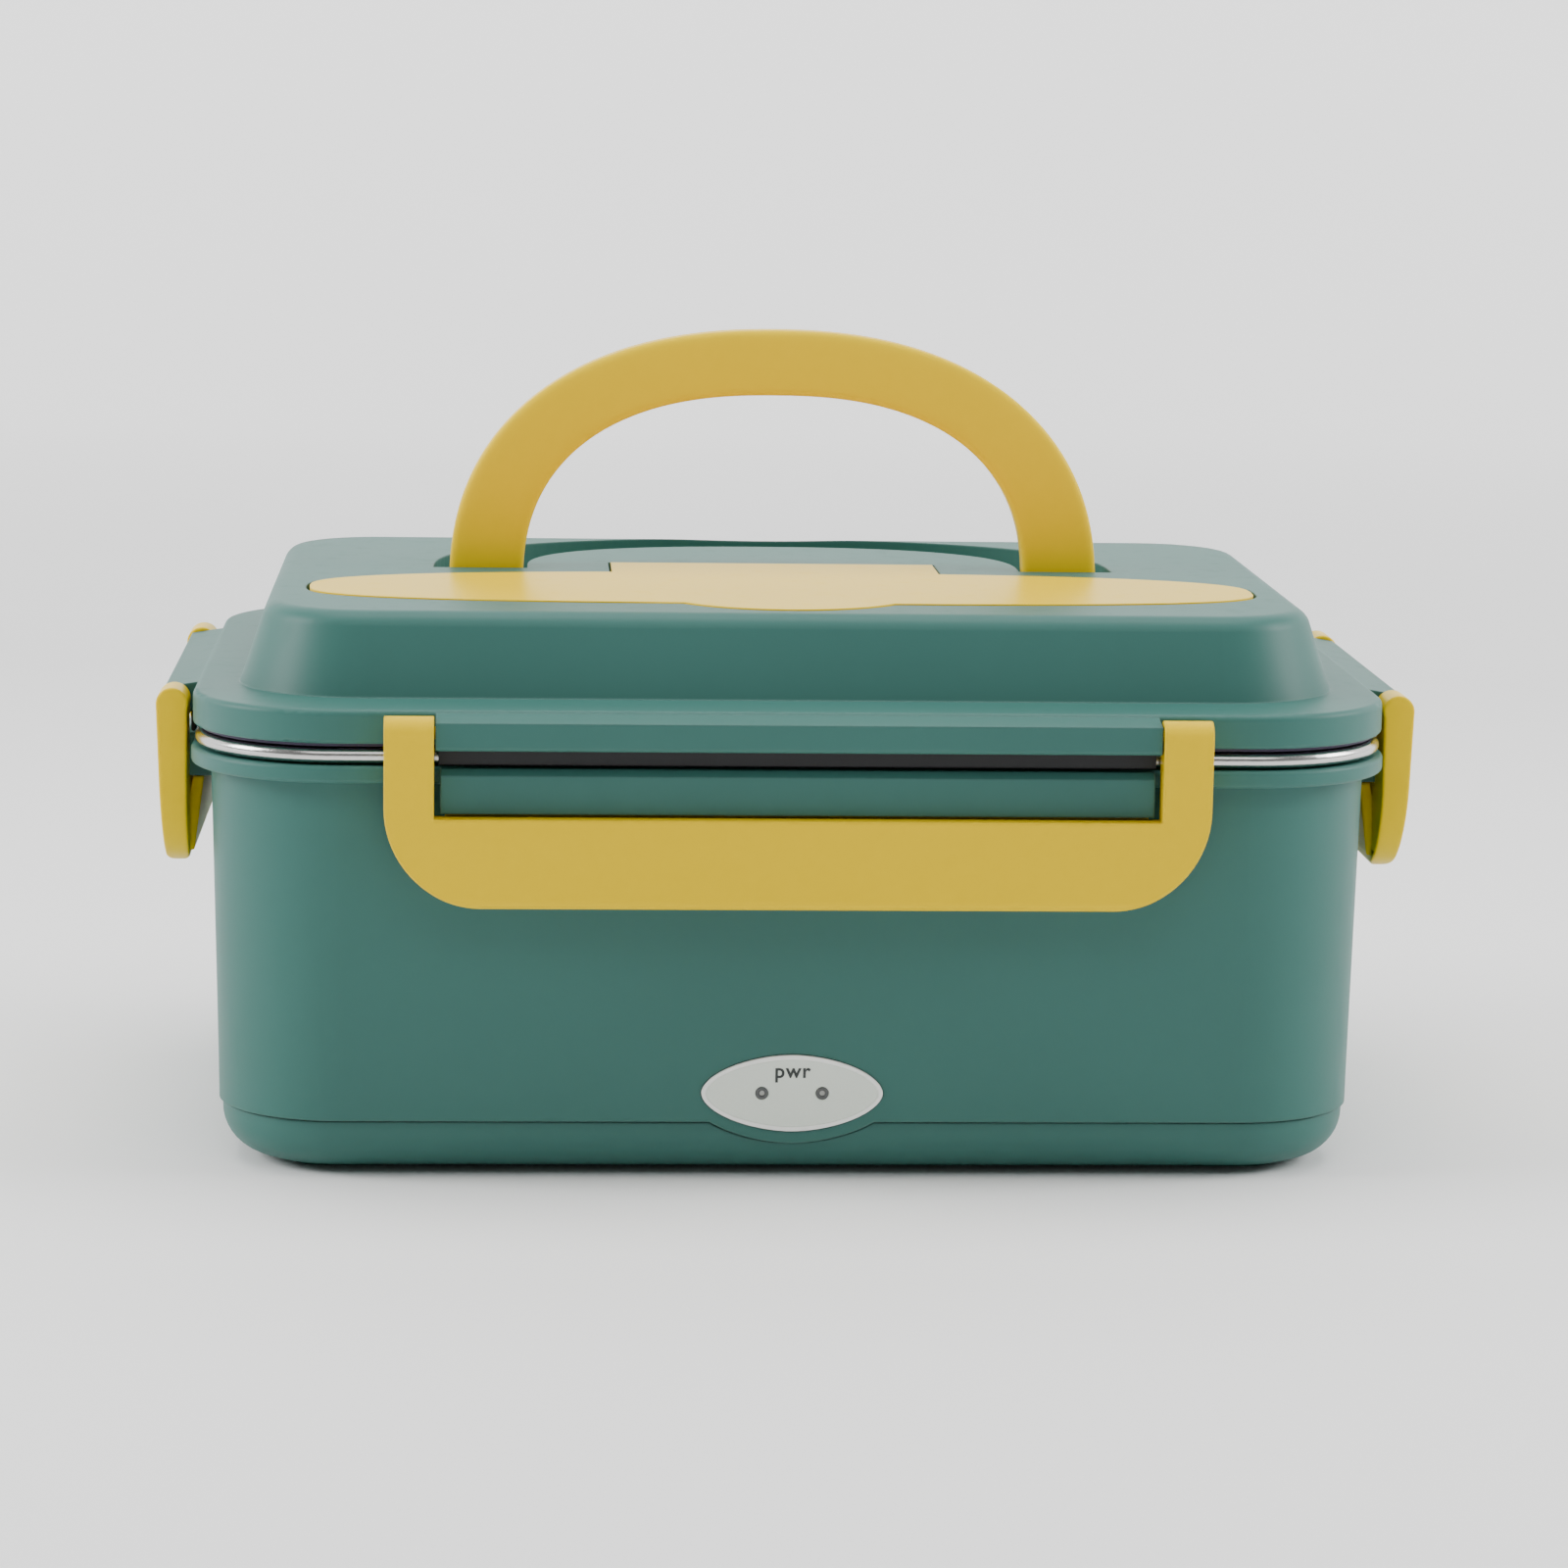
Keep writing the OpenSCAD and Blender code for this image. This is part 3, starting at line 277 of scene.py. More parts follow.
@dataclass(frozen=True)
class MouldedPlastic:
    """Injection-moulded plastic with a fine satin texture."""

    name: str
    colour: Colour
    roughness: float = 0.42
    grain: float = 0.012 * MM
    cloudy: float = 0.07
    edge_radius: float = 0.6 * MM
    # Share and paleness of the painted highlight along edges.
    edge_highlight: float = 0.12
    edge_highlight_pale: float = 0.35
    specular: float = 0.5
    tint: Point = (1.0, 1.0, 1.0)
    ior: float = 1.49
    cloud_scale: float = 18.0
    speck_scale: float = 2600.0
    rub_scale: float = 240.0
    grain_scale: float = 900.0

    def make(self) -> bpy.types.Material:
        """Builds the material.

        Returns:
            The material.
        """
        skin = Skin(self.name)
        clouds = skin.noise(self.cloud_scale, 3.0)
        specks = skin.noise(self.speck_scale, 1.0)
        grains = skin.noise(self.grain_scale, 2.0)
        rub = skin.noise(self.rub_scale, 4.0, (1, 1, 0.25)).ramp(0.56, 0.78)
        tone = skin.mix(clouds, self.colour.shade(1 - self.cloudy),
                        self.colour.shade(1 + self.cloudy, 0.002))
        # Edges painted paler: a painted highlight along outer and inner edges.
        tone = skin.mix(skin.edges(self.edge_radius) * self.edge_highlight, tone,
                        self.colour.shade(1 - self.edge_highlight_pale, self.edge_highlight_pale))
        tone = skin.mix(specks.ramp(0.62, 0.8) * 0.06, tone, self.colour.shade())
        skin.feed(Base_Color=tone, Roughness=self.roughness + (clouds - 0.5) * 0.06 + rub * 0.05,
                  IOR=self.ior, Specular_IOR_Level=self.specular, Specular_Tint=(*self.tint, 1.0))
        skin.bump(specks * 0.7 + grains * 0.3, self.grain, self.edge_radius)
        return skin.material


@dataclass(frozen=True)
class DrawnMetal:
    """Bare metal with fine drawing or brushing lines."""

    name: str
    colour: Colour
    roughness: float = 0.26
    lines: Point = (1, 1, 12)
    line_scale: float = 700.0
    depth: float = 0.006 * MM
    edge_radius: float = 0.2 * MM
    haze_scale: float = 35.0
    dulled: float = 0.82

    def make(self) -> bpy.types.Material:
        """Builds the material.

        Returns:
            The material.
        """
        skin = Skin(self.name)
        brushed = skin.noise(self.line_scale, 3.0, self.lines)
        haze = skin.noise(self.haze_scale, 3.0)
        skin.feed(Base_Color=skin.mix(haze, self.colour.shade(self.dulled), self.colour.shade()),
                  Metallic=1.0,
                  Roughness=self.roughness + (brushed - 0.5) * 0.12 + haze * 0.05)
        skin.bump(brushed, self.depth, self.edge_radius)
        return skin.material


@dataclass(frozen=True)
class Enamel:
    """Pale plate whose raised border along its squared-off oval outline is painted lighter, a
    painted highlight.
    """

    name: str
    colour: Colour
    rim_highlight: Colour
    half: Span = (17.0 * MM, 6.8 * MM)
    centre_z: float = 17.6 * MM
    power: float = 1.8
    speck_scale: float = 2400.0
    grain_scale: float = 1300.0
    grain: float = 0.008 * MM
    edge_radius: float = 0.3 * MM

    def make(self) -> bpy.types.Material:
        """Builds the material.

        Returns:
            The material.
        """
        skin = Skin(self.name)
        x, _, z = skin.axes()
        reach = ((x.size() / self.half[0]) ** self.power
                 + ((z - self.centre_z).size() / self.half[1]) ** self.power)
        speck = skin.noise(self.speck_scale, 2.0).ramp(0.35, 0.75) * 0.35
        field = skin.mix(speck, self.colour.shade(), self.colour.shade(0.93))
        # The border is painted lighter: a painted highlight on the plate's rounded rim.
        skin.feed(Base_Color=skin.mix(reach.ramp(0.985, 1.03), field, self.rim_highlight.shade()),
                  Roughness=0.46 + speck * 0.2)
        skin.bump(skin.noise(self.grain_scale, 2.0), self.grain, self.edge_radius)
        return skin.material


@dataclass(frozen=True)
class SoftRubber:
    """Silicone or rubber with a dull skin and a little dust."""

    name: str
    colour: Colour
    roughness: float = 0.6
    dust: float = 0.12
    dust_scale: float = 1500.0
    grain_scale: float = 1800.0
    grain: float = 0.01 * MM
    edge_radius: float = 0.3 * MM
    ior: float = 1.41

    def make(self) -> bpy.types.Material:
        """Builds the material.

        Returns:
            The material.
        """
        skin = Skin(self.name)
        dust = skin.noise(self.dust_scale, 3.0).ramp(0.6, 0.85) * self.dust
        skin.feed(Base_Color=skin.mix(dust, self.colour.shade(), self.colour.shade(0.5, 0.3)),
                  Roughness=self.roughness + dust * 0.6, IOR=self.ior)
        skin.bump(skin.noise(self.grain_scale, 2.0), self.grain, self.edge_radius)
        return skin.material


@dataclass(frozen=True)
class LampLens:
    """Milky lens of an indicator lamp."""

    name: str
    dim: Colour
    clear: Colour
    cloud_scale: float = 3000.0
    roughness: float = 0.2
    coat: float = 0.6

    def make(self) -> bpy.types.Material:
        """Builds the material.

        Returns:
            The material.
        """
        skin = Skin(self.name)
        cloud = skin.noise(self.cloud_scale, 2.0)
        skin.feed(Base_Color=skin.mix(cloud, self.dim.shade(), self.clear.shade()),
                  Roughness=self.roughness + cloud * 0.1, Coat_Weight=self.coat)
        return skin.material


class Finish(Enum):
    """Every finish of the box."""

    SHELL = MouldedPlastic("green_shell", Colour.GREEN, roughness=0.47, specular=0.4, ior=1.43)
    WELL = MouldedPlastic("dark_well", Colour.DEEP_GREEN, roughness=0.55, specular=0.4)
    LINER = MouldedPlastic("green_liner", Colour.LINER_GREEN, roughness=0.4)
    # The yellow parts get a stronger painted highlight on their edges.
    YELLOW = MouldedPlastic("yellow_moulding", Colour.YELLOW, roughness=0.34, cloudy=0.02,
                            edge_radius=0.9 * MM, edge_highlight=0.2, edge_highlight_pale=0.08,
                            grain=0.006 * MM, specular=0.2, tint=(1.0, 0.74, 0.04), ior=1.4)
    BADGE = Enamel("badge_enamel", Colour.PALE_GREY, Colour.RIM_HIGHLIGHT_GREY)
    HOLE_SHADE = MouldedPlastic("lamp_hole_shade", Colour.HOLE_SHADE_GREY, roughness=0.4, edge_radius=0.1 * MM)
    TRAY = MouldedPlastic("milky_tray", Colour.MILK, roughness=0.35, cloudy=0.03)
    BLACK = MouldedPlastic("black_inlet", Colour.BLACK, roughness=0.45, edge_radius=0.3 * MM)
    MICA = MouldedPlastic("mica_sheet", Colour.MICA, roughness=0.35, cloudy=0.2)
    RESIN = MouldedPlastic("resin_case", Colour.RESIN, roughness=0.5, edge_radius=0.3 * MM)
    BOARD = MouldedPlastic("circuit_board", Colour.BOARD, roughness=0.3, edge_radius=0.2 * MM)
    PRINT = MouldedPlastic("dark_print", Colour.PRINT, roughness=0.5, edge_radius=0.05 * MM)
    STEEL = DrawnMetal("rolled_steel", Colour.STEEL, roughness=0.2)
    ALUMINIUM = DrawnMetal("brushed_aluminium", Colour.ALUMINIUM, 0.36, (1, 14, 1))
    ZINC = DrawnMetal("zinc_plate", Colour.ZINC, 0.34, (1, 1, 3), 1200.0)
    POLISHED = DrawnMetal("polished_cutlery", Colour.STEEL, 0.12, (1, 9, 9), 500.0, 0.002 * MM)
    BRASS = DrawnMetal("bright_brass", Colour.BRASS, 0.24, (1, 8, 1), 900.0)
    SEAL = SoftRubber("plum_silicone", Colour.PLUM_GREY)
    # Black lips standing in for the shade in the clip slots: painted shade.
    SHADE_LIPS = SoftRubber("shade_lip_black", Colour.BLACK, 0.55, 0.02)
    PLUG = SoftRubber("milky_silicone", Colour.MILK, 0.45, 0.05)
    WIRE = SoftRubber("wire_sleeve", Colour.WIRE, 0.4, 0.05)
    LENS = LampLens("lamp_lens", Colour.DIM_LENS, Colour.CLEAR_LENS)


class Paintbox:
    """Makes each finish once and hands it out."""

    def __init__(self) -> None:
        """Starts empty."""
        self._made: dict[Finish, bpy.types.Material] = {}

    def __getitem__(self, finish: Finish) -> bpy.types.Material:
        """Returns the material of a finish, made on first use."""
        if finish not in self._made:
            self._made[finish] = finish.value.make()
        return self._made[finish]


# -------------------- meshes


def link(name: str, data: Any) -> bpy.types.Object:
    """Puts a new object in the scene.

    Args:
        name: Name of the object.
        data: Its mesh, curve, camera or light.

    Returns:
        The object.
    """
    made = bpy.data.objects.new(name, data)
    bpy.context.scene.collection.objects.link(made)
    return made


def evaluated(bench: bpy.types.Object) -> bpy.types.Mesh:
    """Turns an object and its modifiers into a plain mesh.

    Args:
        bench: The object, which is removed.

    Returns:
        The mesh.
    """
    mesh = bpy.data.meshes.new_from_object(
        bench.evaluated_get(bpy.context.evaluated_depsgraph_get()))
    bench.modifiers.clear()
    bpy.data.objects.remove(bench)
    return mesh


def smooth(shape: bmesh.types.BMesh, name: str, sharp: float = 35.0) -> bpy.types.Mesh:
    """Turns a bmesh into a smooth-shaded mesh with sharp edges kept.

    Args:
        shape: The bmesh, which is freed.
        name: Name of the mesh.
        sharp: Angle in degrees from which an edge stays sharp.

    Returns:
        The mesh.
    """
    for face in shape.faces:
        face.smooth = True
    for edge in shape.edges:
        edge.smooth = edge.calc_face_angle(0.0) < math.radians(sharp)
    mesh = bpy.data.meshes.new(name)
    shape.to_mesh(mesh)
    shape.free()
    return mesh


def loft(rings: Sequence[Sequence[Point]], name: str) -> bpy.types.Mesh:
    """Skins closed rings of equal length and closes both ends.

    Args:
        rings: Rings of points, in order.
        name: Name of the mesh.

    Returns:
        The mesh.
    """
    shape = bmesh.new()
    rows = [[shape.verts.new(p) for p in ring] for ring in rings]
    count = len(rows[0])
    for row, after in zip(rows, rows[1:]):
        for i in range(count):
            j = (i + 1) % count
            shape.faces.new((row[i], row[j], after[j], after[i]))
    shape.faces.new(list(reversed(rows[0])))
    shape.faces.new(rows[-1])
    bmesh.ops.remove_doubles(shape, verts=shape.verts, dist=0.001 * MM)
    bmesh.ops.recalc_face_normals(shape, faces=shape.faces)
    return smooth(shape, name, 50.0)


class NodeRecipe(Web):
    """A Geometry Nodes tree with named inputs, turned into a plain mesh."""

    def __init__(self, name: str, sizes: dict[str, float]) -> None:
        """Starts a tree.

        Args:
            name: Name of the tree and of the mesh it makes.
            sizes: Named inputs and their values.
        """
        super().__init__(bpy.data.node_groups.new(name, "GeometryNodeTree"))
        self.name = name
        self.sizes = sizes
        self._ids: dict[str, str] = {}
        for key in sizes:
            made = self.tree.interface.new_socket(key, in_out="INPUT",
                                                  socket_type="NodeSocketFloat")
            self._ids[key] = made.identifier
        self.tree.interface.new_socket("Geometry", in_out="OUTPUT",
                                       socket_type="NodeSocketGeometry")
        self._inputs = self.node("NodeGroupInput")

    def __getitem__(self, key: str) -> Signal:
        """Returns the named input."""
        return Signal(self, self._inputs.outputs[key])

    def vector(self, x: Any, y: Any, z: Any) -> Signal:
        """Returns a vector put together from three values."""
        return self.add("ShaderNodeCombineXYZ", None, {0: x, 1: y, 2: z})

    def circle(self, steps: int, radius: Signal) -> Signal:
        """Returns a circle as a curve."""
        return self.add("GeometryNodeCurvePrimitiveCircle", None,
                        {"Resolution": steps, "Radius": radius})

    def swept(self, path: Signal, profile: Signal, capped: bool) -> Signal:
        """Returns the mesh of a profile swept along a path."""
        return self.add("GeometryNodeCurveToMesh", None,
                        {"Curve": path, "Profile Curve": profile, "Fill Caps": capped})

    def moved(self, geometry: Signal, place: Signal | None, turn: Point | None = None) -> Signal:
        """Returns geometry that is turned by Euler angles and then moved."""
        return self.add("GeometryNodeTransform", None,
                        {"Geometry": geometry, "Translation": place, "Rotation": turn})

    def grid(self, size_x: Any, size_y: Any, count_x: int, count_y: int) -> Signal:
        """Returns a flat grid centred on the origin, with that many points each way."""
        return self.add("GeometryNodeMeshGrid", None,
                        {"Size X": size_x, "Size Y": size_y,
                         "Vertices X": count_x, "Vertices Y": count_y}, "Mesh")

    def copies(self, points: Signal, shape: Signal) -> Signal:
        """Returns one copy of a shape on every point."""
        return self.add("GeometryNodeInstanceOnPoints", None,
                        {"Points": points, "Instance": shape})

    def sheet(self, rows: int, around: int) -> tuple[Signal, Signal, Signal]:
        """Makes a grid whose rows will be wrapped round into rings.

        Args:
            rows: Number of rings.
            around: Points in a ring.

        Returns:
            The grid, each point's row number and its angle round the ring.
        """
        grid = self.grid(1.0, 1.0, rows, around + 1)
        index = self.add("GeometryNodeInputIndex")
        row = (index / (around + 1.0)).whole()
        turn = (index - row * (around + 1.0)) * (2 * math.pi / around)
        return grid, row, turn

    def wrapped(self, sheet: Signal, x: Signal, y: Signal, z: Signal) -> Signal:
        """Puts a sheet's points in place and joins those that meet.

        Args:
            sheet: The grid.
            x: x of each point.
            y: y of each point.
            z: z of each point.

        Returns:
            The closed skin.
        """
        placed = self.add("GeometryNodeSetPosition", None,
                          {"Geometry": sheet, "Position": self.vector(x, y, z)})
        return self.add("GeometryNodeMergeByDistance", None,
                        {"Geometry": placed, "Distance": 0.01 * MM})

    def bake(self, geometry: Signal, material: bpy.types.Material,
             sharp: float = 40.0) -> bpy.types.Mesh:
        """Ends the tree and evaluates it to a mesh that is right side out.

        Args:
            geometry: What the tree makes.
            material: Material set by the tree's last node.
            sharp: Angle in degrees from which an edge stays sharp.

        Returns:
            The plain mesh.
        """
        real = self.add("GeometryNodeRealizeInstances", None, {"Geometry": geometry})
        done = self.add("GeometryNodeSetMaterial", None, {"Geometry": real, "Material": material})
        self.node("NodeGroupOutput", None, {0: done})
        bench = link("bench", bpy.data.meshes.new("bench"))
        modifier = bench.modifiers.new("recipe", "NODES")
        modifier.node_group = self.tree
        for key, value in self.sizes.items():
            modifier[self._ids[key]] = value
        shape = bmesh.new()
        shape.from_mesh(evaluated(bench))
        bmesh.ops.recalc_face_normals(shape, faces=shape.faces)
        return smooth(shape, self.name, sharp)


# -------------------- sub-assemblies


@dataclass
class Workshop:
    """Tools that every sub-assembly shares."""

    paints: Paintbox
    join_gap: float = 0.002 * MM
    flat_limit: float = 0.4
    ease_limit: float = 35.0
    ease_steps: int = 3

    def paint(self, piece: bpy.types.Object, finish: Finish) -> None:
        """Gives a CAD node or a new piece one finish."""
        piece.data.materials.clear()
        piece.data.materials.append(self.paints[finish])

    def paint_nodes(self, **finishes: Finish) -> None:
        """Gives CAD nodes their finishes.

        Args:
            finishes: Name of the node to its finish.
        """
        for node, finish in finishes.items():
            self.paint(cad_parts[node], finish)
            log.info("node %s: %s", node, finish.value.name)

    def piece(self, name: str, mesh: bpy.types.Mesh, body: str, finish: Finish,
              slot: str, stands_for: Sequence[str] = ()) -> bpy.types.Object:
        """Puts a mesh in the scene as a piece that rides on a body.

        Args:
            name: Name of the piece.
            mesh: Its mesh, in metres in the frame.
            body: CAD body it rides on.
            finish: Its finish.
            slot: Material slot of the record; not used.
            stands_for: CAD nodes it replaces.

        Returns:
            The piece.
        """
        made = link(name, mesh)
        self.paint(made, finish)
        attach(made, body)
        if stands_for:
            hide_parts(*stands_for)
        log.info("piece %s on %s: %d faces", name, body, len(mesh.polygons))
        return made

    def eased(self, node: str, width: float) -> bpy.types.Mesh:
        """Copies a CAD node with its sharp edges rounded and its shading smooth.

        Args:
            node: Name of the node.
            width: Width of the rounding in metres.

        Returns:
            The mesh.
        """
        shape = bmesh.new()
        shape.from_mesh(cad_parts[node].data)
        bmesh.ops.remove_doubles(shape, verts=shape.verts, dist=self.join_gap)
        bmesh.ops.dissolve_limit(shape, angle_limit=math.radians(self.flat_limit),
                                 verts=shape.verts, edges=shape.edges)
        for face in shape.faces:
            face.smooth = True
        mesh = bpy.data.meshes.new(node + "_eased")
        shape.to_mesh(mesh)
        shape.free()
        bench = link("bench", mesh)
        bevel = bench.modifiers.new("ease", "BEVEL")
        bevel.width, bevel.segments = width, self.ease_steps
        bevel.limit_method, bevel.angle_limit = "ANGLE", math.radians(self.ease_limit)
        bevel.miter_outer = "MITER_ARC"
        weight = bench.modifiers.new("flat_faces_lead", "WEIGHTED_NORMAL")
        weight.mode, weight.weight, weight.keep_sharp = "FACE_AREA", 100, False
        split = bench.modifiers.new("even_triangles", "TRIANGULATE")
        split.ngon_method, split.min_vertices, split.keep_custom_normals = "BEAUTY", 5, True
        return evaluated(bench)


@dataclass
class Base(Workshop):
    """Heated base: shells, well, heater, wiring, badge and lamps."""

    badge_ease: float = 0.25 * MM
    badge_slope: float = 0.0204
    field_depth: float = 0.15 * MM
    lamp_pitch: float = 11.9 * MM
    ring_radius: float = 0.86 * MM
    ring_wire: float = 0.36 * MM
    mark_height: float = 4.4 * MM
    mark_size: float = 4.05 * MM
    mark_proud: float = 0.06 * MM
    mark_bold: float = 0.02
    mark_spacing: float = 1.12
    cover_screws: Four = (194 * MM, 80 * MM, 4.2 * MM, 19.6 * MM)
    heater_screws: Four = (0.0, 94 * MM, 17.0 * MM, 23.7 * MM)
    head_round: float = 0.36
    solder_pitch: Span = (4.1 * MM, 6.2 * MM)
    solder_columns: int = 6
    solder_dome: float = 0.55 * MM
    board_thick: float = 1.2 * MM

    def badge_face(self) -> Span:
        """Returns the depth and height of the middle of the badge's front."""
        low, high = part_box("badge")
        return (low[1] + self.badge_slope * (high[2] - low[2]) / 2, (low[2] + high[2]) / 2)

    def mark(self) -> bpy.types.Mesh:
        """Writes the short mark for power over the lamps.

        Returns:
            The letters as thin solids on the badge's field.
        """
        text = bpy.data.curves.new("mark", "FONT")
        text.body, text.align_x, text.align_y = "pwr", "CENTER", "CENTER"
        text.size, text.extrude = self.mark_size, self.mark_proud
        text.space_character, text.offset = self.mark_spacing, self.mark_bold * self.mark_size
        mesh = evaluated(link("bench", text))
        depth, height = self.badge_face()
        up = Matrix.Rotation(math.pi / 2 + math.atan(self.badge_slope), 4, "X")
        at = (0.0, depth + self.field_depth - self.badge_slope * self.mark_height,
              height + self.mark_height)
        mesh.transform(Matrix.Translation(at) @ up)
        return mesh

    def rings(self) -> bpy.types.Mesh:
        """Builds the dark rings of the two lamps in Geometry Nodes, painted shade for the recess
        round each lamp.

        Returns:
            The mesh of both rings.
        """
        depth, height = self.badge_face()
        tree = NodeRecipe("lamp_hole_shade_rings", {
            "Pitch": self.lamp_pitch, "Ring": self.ring_radius, "Wire": self.ring_wire,
            "Depth": depth + 2 * self.field_depth, "Height": height})
        ring = tree.swept(tree.circle(48, tree["Ring"]), tree.circle(14, tree["Wire"]), False)
        stood = tree.moved(ring, None, (math.pi / 2, 0.0, 0.0))
        start = tree.vector(tree["Pitch"] * -0.5, tree["Depth"], tree["Height"])
        points = tree.add("GeometryNodeMeshLine", None,
                          {"Count": 2, "Start Location": start,
                           "Offset": tree.vector(tree["Pitch"], 0.0, 0.0)})
        return tree.bake(tree.copies(points, stood), self.paints[Finish.HOLE_SHADE])

    def solder(self) -> bpy.types.Mesh:
        """Builds the solder domes on the back of the indicator board in Geometry Nodes.

        Returns:
            The mesh of all domes.
        """
        low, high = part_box("indicator_board")
        tree = NodeRecipe("solder_domes", {
            "Pitch X": self.solder_pitch[0], "Pitch Z": self.solder_pitch[1],
            "Dome": self.solder_dome, "Back": low[1] + self.board_thick,
            "Height": (low[2] + high[2]) / 2})
        points = tree.grid(tree["Pitch X"] * (self.solder_columns - 1.0), tree["Pitch Z"],
                           self.solder_columns, 2)
        stood = tree.moved(points, tree.vector(0.0, tree["Back"], tree["Height"]),
                           (math.pi / 2, 0.0, 0.0))
        dome = tree.add("GeometryNodeMeshUVSphere", None,
                        {"Segments": 14, "Rings": 8, "Radius": tree["Dome"]}, "Mesh")
        return tree.bake(tree.copies(stood, dome), self.paints[Finish.ZINC])

    def screws(self, name: str, places: Four) -> bpy.types.Mesh:
        """Builds cross-head screws in Geometry Nodes, heads down.

        Args:
            name: Name of the tree and mesh.
            places: Spacing along x and y, lowest point of the heads and tips' height.

        Returns:
            The mesh of all the screws.
        """
        tree = NodeRecipe(name, {
            "Pitch X": places[0], "Pitch Y": places[1], "Foot": places[2], "Tip": places[3],
            "Head": 2.65 * MM, "Head Height": 1.9 * MM, "Root": 1.05 * MM,
            "Thread Pitch": 0.9 * MM, "Thread": 0.24 * MM,
            "Slot Half": 0.4 * MM, "Slot Reach": 1.7 * MM, "Slot Depth": 0.9 * MM})
        rows = 25
        sheet, row, turn = tree.sheet(rows, 48)
        tip = row * (math.pi / (rows - 1))
        ring = tip.sin().size() ** self.head_round * tree["Head"]
        x, y = turn.cos() * ring, turn.sin() * ring
        cross = (tree["Slot Half"] - x.size().low(y.size())).ramp(-0.08 * MM, 0.02 * MM)
        cross = cross * (tree["Slot Reach"] - ring).ramp(0.0, 0.3 * MM) * tip.cos().above(0.0)
        rise = tip.cos().sign() * tip.cos().size() ** self.head_round
        z = (rise * tree["Head Height"] * -0.5 + tree["Head Height"] * 0.5
             + cross * tree["Slot Depth"])
        head = tree.wrapped(sheet, x, y, z)
        reach = tree["Tip"] - tree["Foot"] - tree["Head Height"]
        shank = tree.add("GeometryNodeMeshCylinder", None,
                         {"Vertices": 24, "Radius": tree["Root"], "Depth": reach}, "Mesh")
        shank = tree.moved(shank, tree.vector(0.0, 0.0, tree["Head Height"] * 0.9 + reach * 0.5))
        coil = tree.add("GeometryNodeCurveSpiral", None,
                        {"Resolution": 16, "Rotations": reach / tree["Thread Pitch"],
                         "Start Radius": tree["Root"], "End Radius": tree["Root"] * 0.9,
                         "Height": reach * 0.97})
        thread = tree.moved(tree.swept(coil, tree.circle(3, tree["Thread"]), True),
                            tree.vector(0.0, 0.0, tree["Head Height"]))
        joined = tree.node("GeometryNodeJoinGeometry")
        for part in (head, shank, thread):
            tree.tree.links.new(part.socket, joined.inputs[0])
        points = tree.moved(tree.grid(tree["Pitch X"], tree["Pitch Y"], 2 if places[0] else 1, 2),
                            tree.vector(0.0, 0.0, tree["Foot"]))
        every = tree.copies(points, Signal(tree, joined.outputs[0]))
        return tree.bake(every, self.paints[Finish.ZINC])

    def build(self) -> None:
        """Dresses every node of the base."""
        self.paint_nodes(
            outer_body=Finish.SHELL, base_cover=Finish.SHELL, inner_well=Finish.WELL,
            heating_plate=Finish.ALUMINIUM, ptc_heater=Finish.ALUMINIUM,
            insulation_sheet=Finish.MICA, heater_clamp=Finish.ZINC, thermostat=Finish.RESIN,
            thermal_fuse=Finish.ZINC, power_inlet=Finish.BLACK, inlet_pins=Finish.BRASS,
            indicator_board=Finish.BOARD, indicator_lamps=Finish.LENS, leads=Finish.WIRE)
        self.piece("badge_plate", self.eased("badge", self.badge_ease), "base", Finish.BADGE,
                   "badge", ("badge",))
        self.piece("power_mark", self.mark(), "base", Finish.PRINT, "badge")
        # Dark rings painted as the shade in each lamp's hole.
        self.piece("lamp_hole_shade_rings", self.rings(), "base", Finish.HOLE_SHADE, "badge")
        self.piece("solder_domes", self.solder(), "base", Finish.ZINC, "indicator_board")
        for node, places in (("cover_screws", self.cover_screws),
                             ("heater_screws", self.heater_screws)):
            name = node + "_threaded"
            self.piece(name, self.screws(name, places), "base", Finish.ZINC, "screws", (node,))


@dataclass
class Vessel(Workshop):
    """Steel container and the side-dish tray in it."""

    def build(self) -> None:
        """Dresses container and tray."""
        self.paint_nodes(steel_container=Finish.STEEL, side_dish_tray=Finish.TRAY)


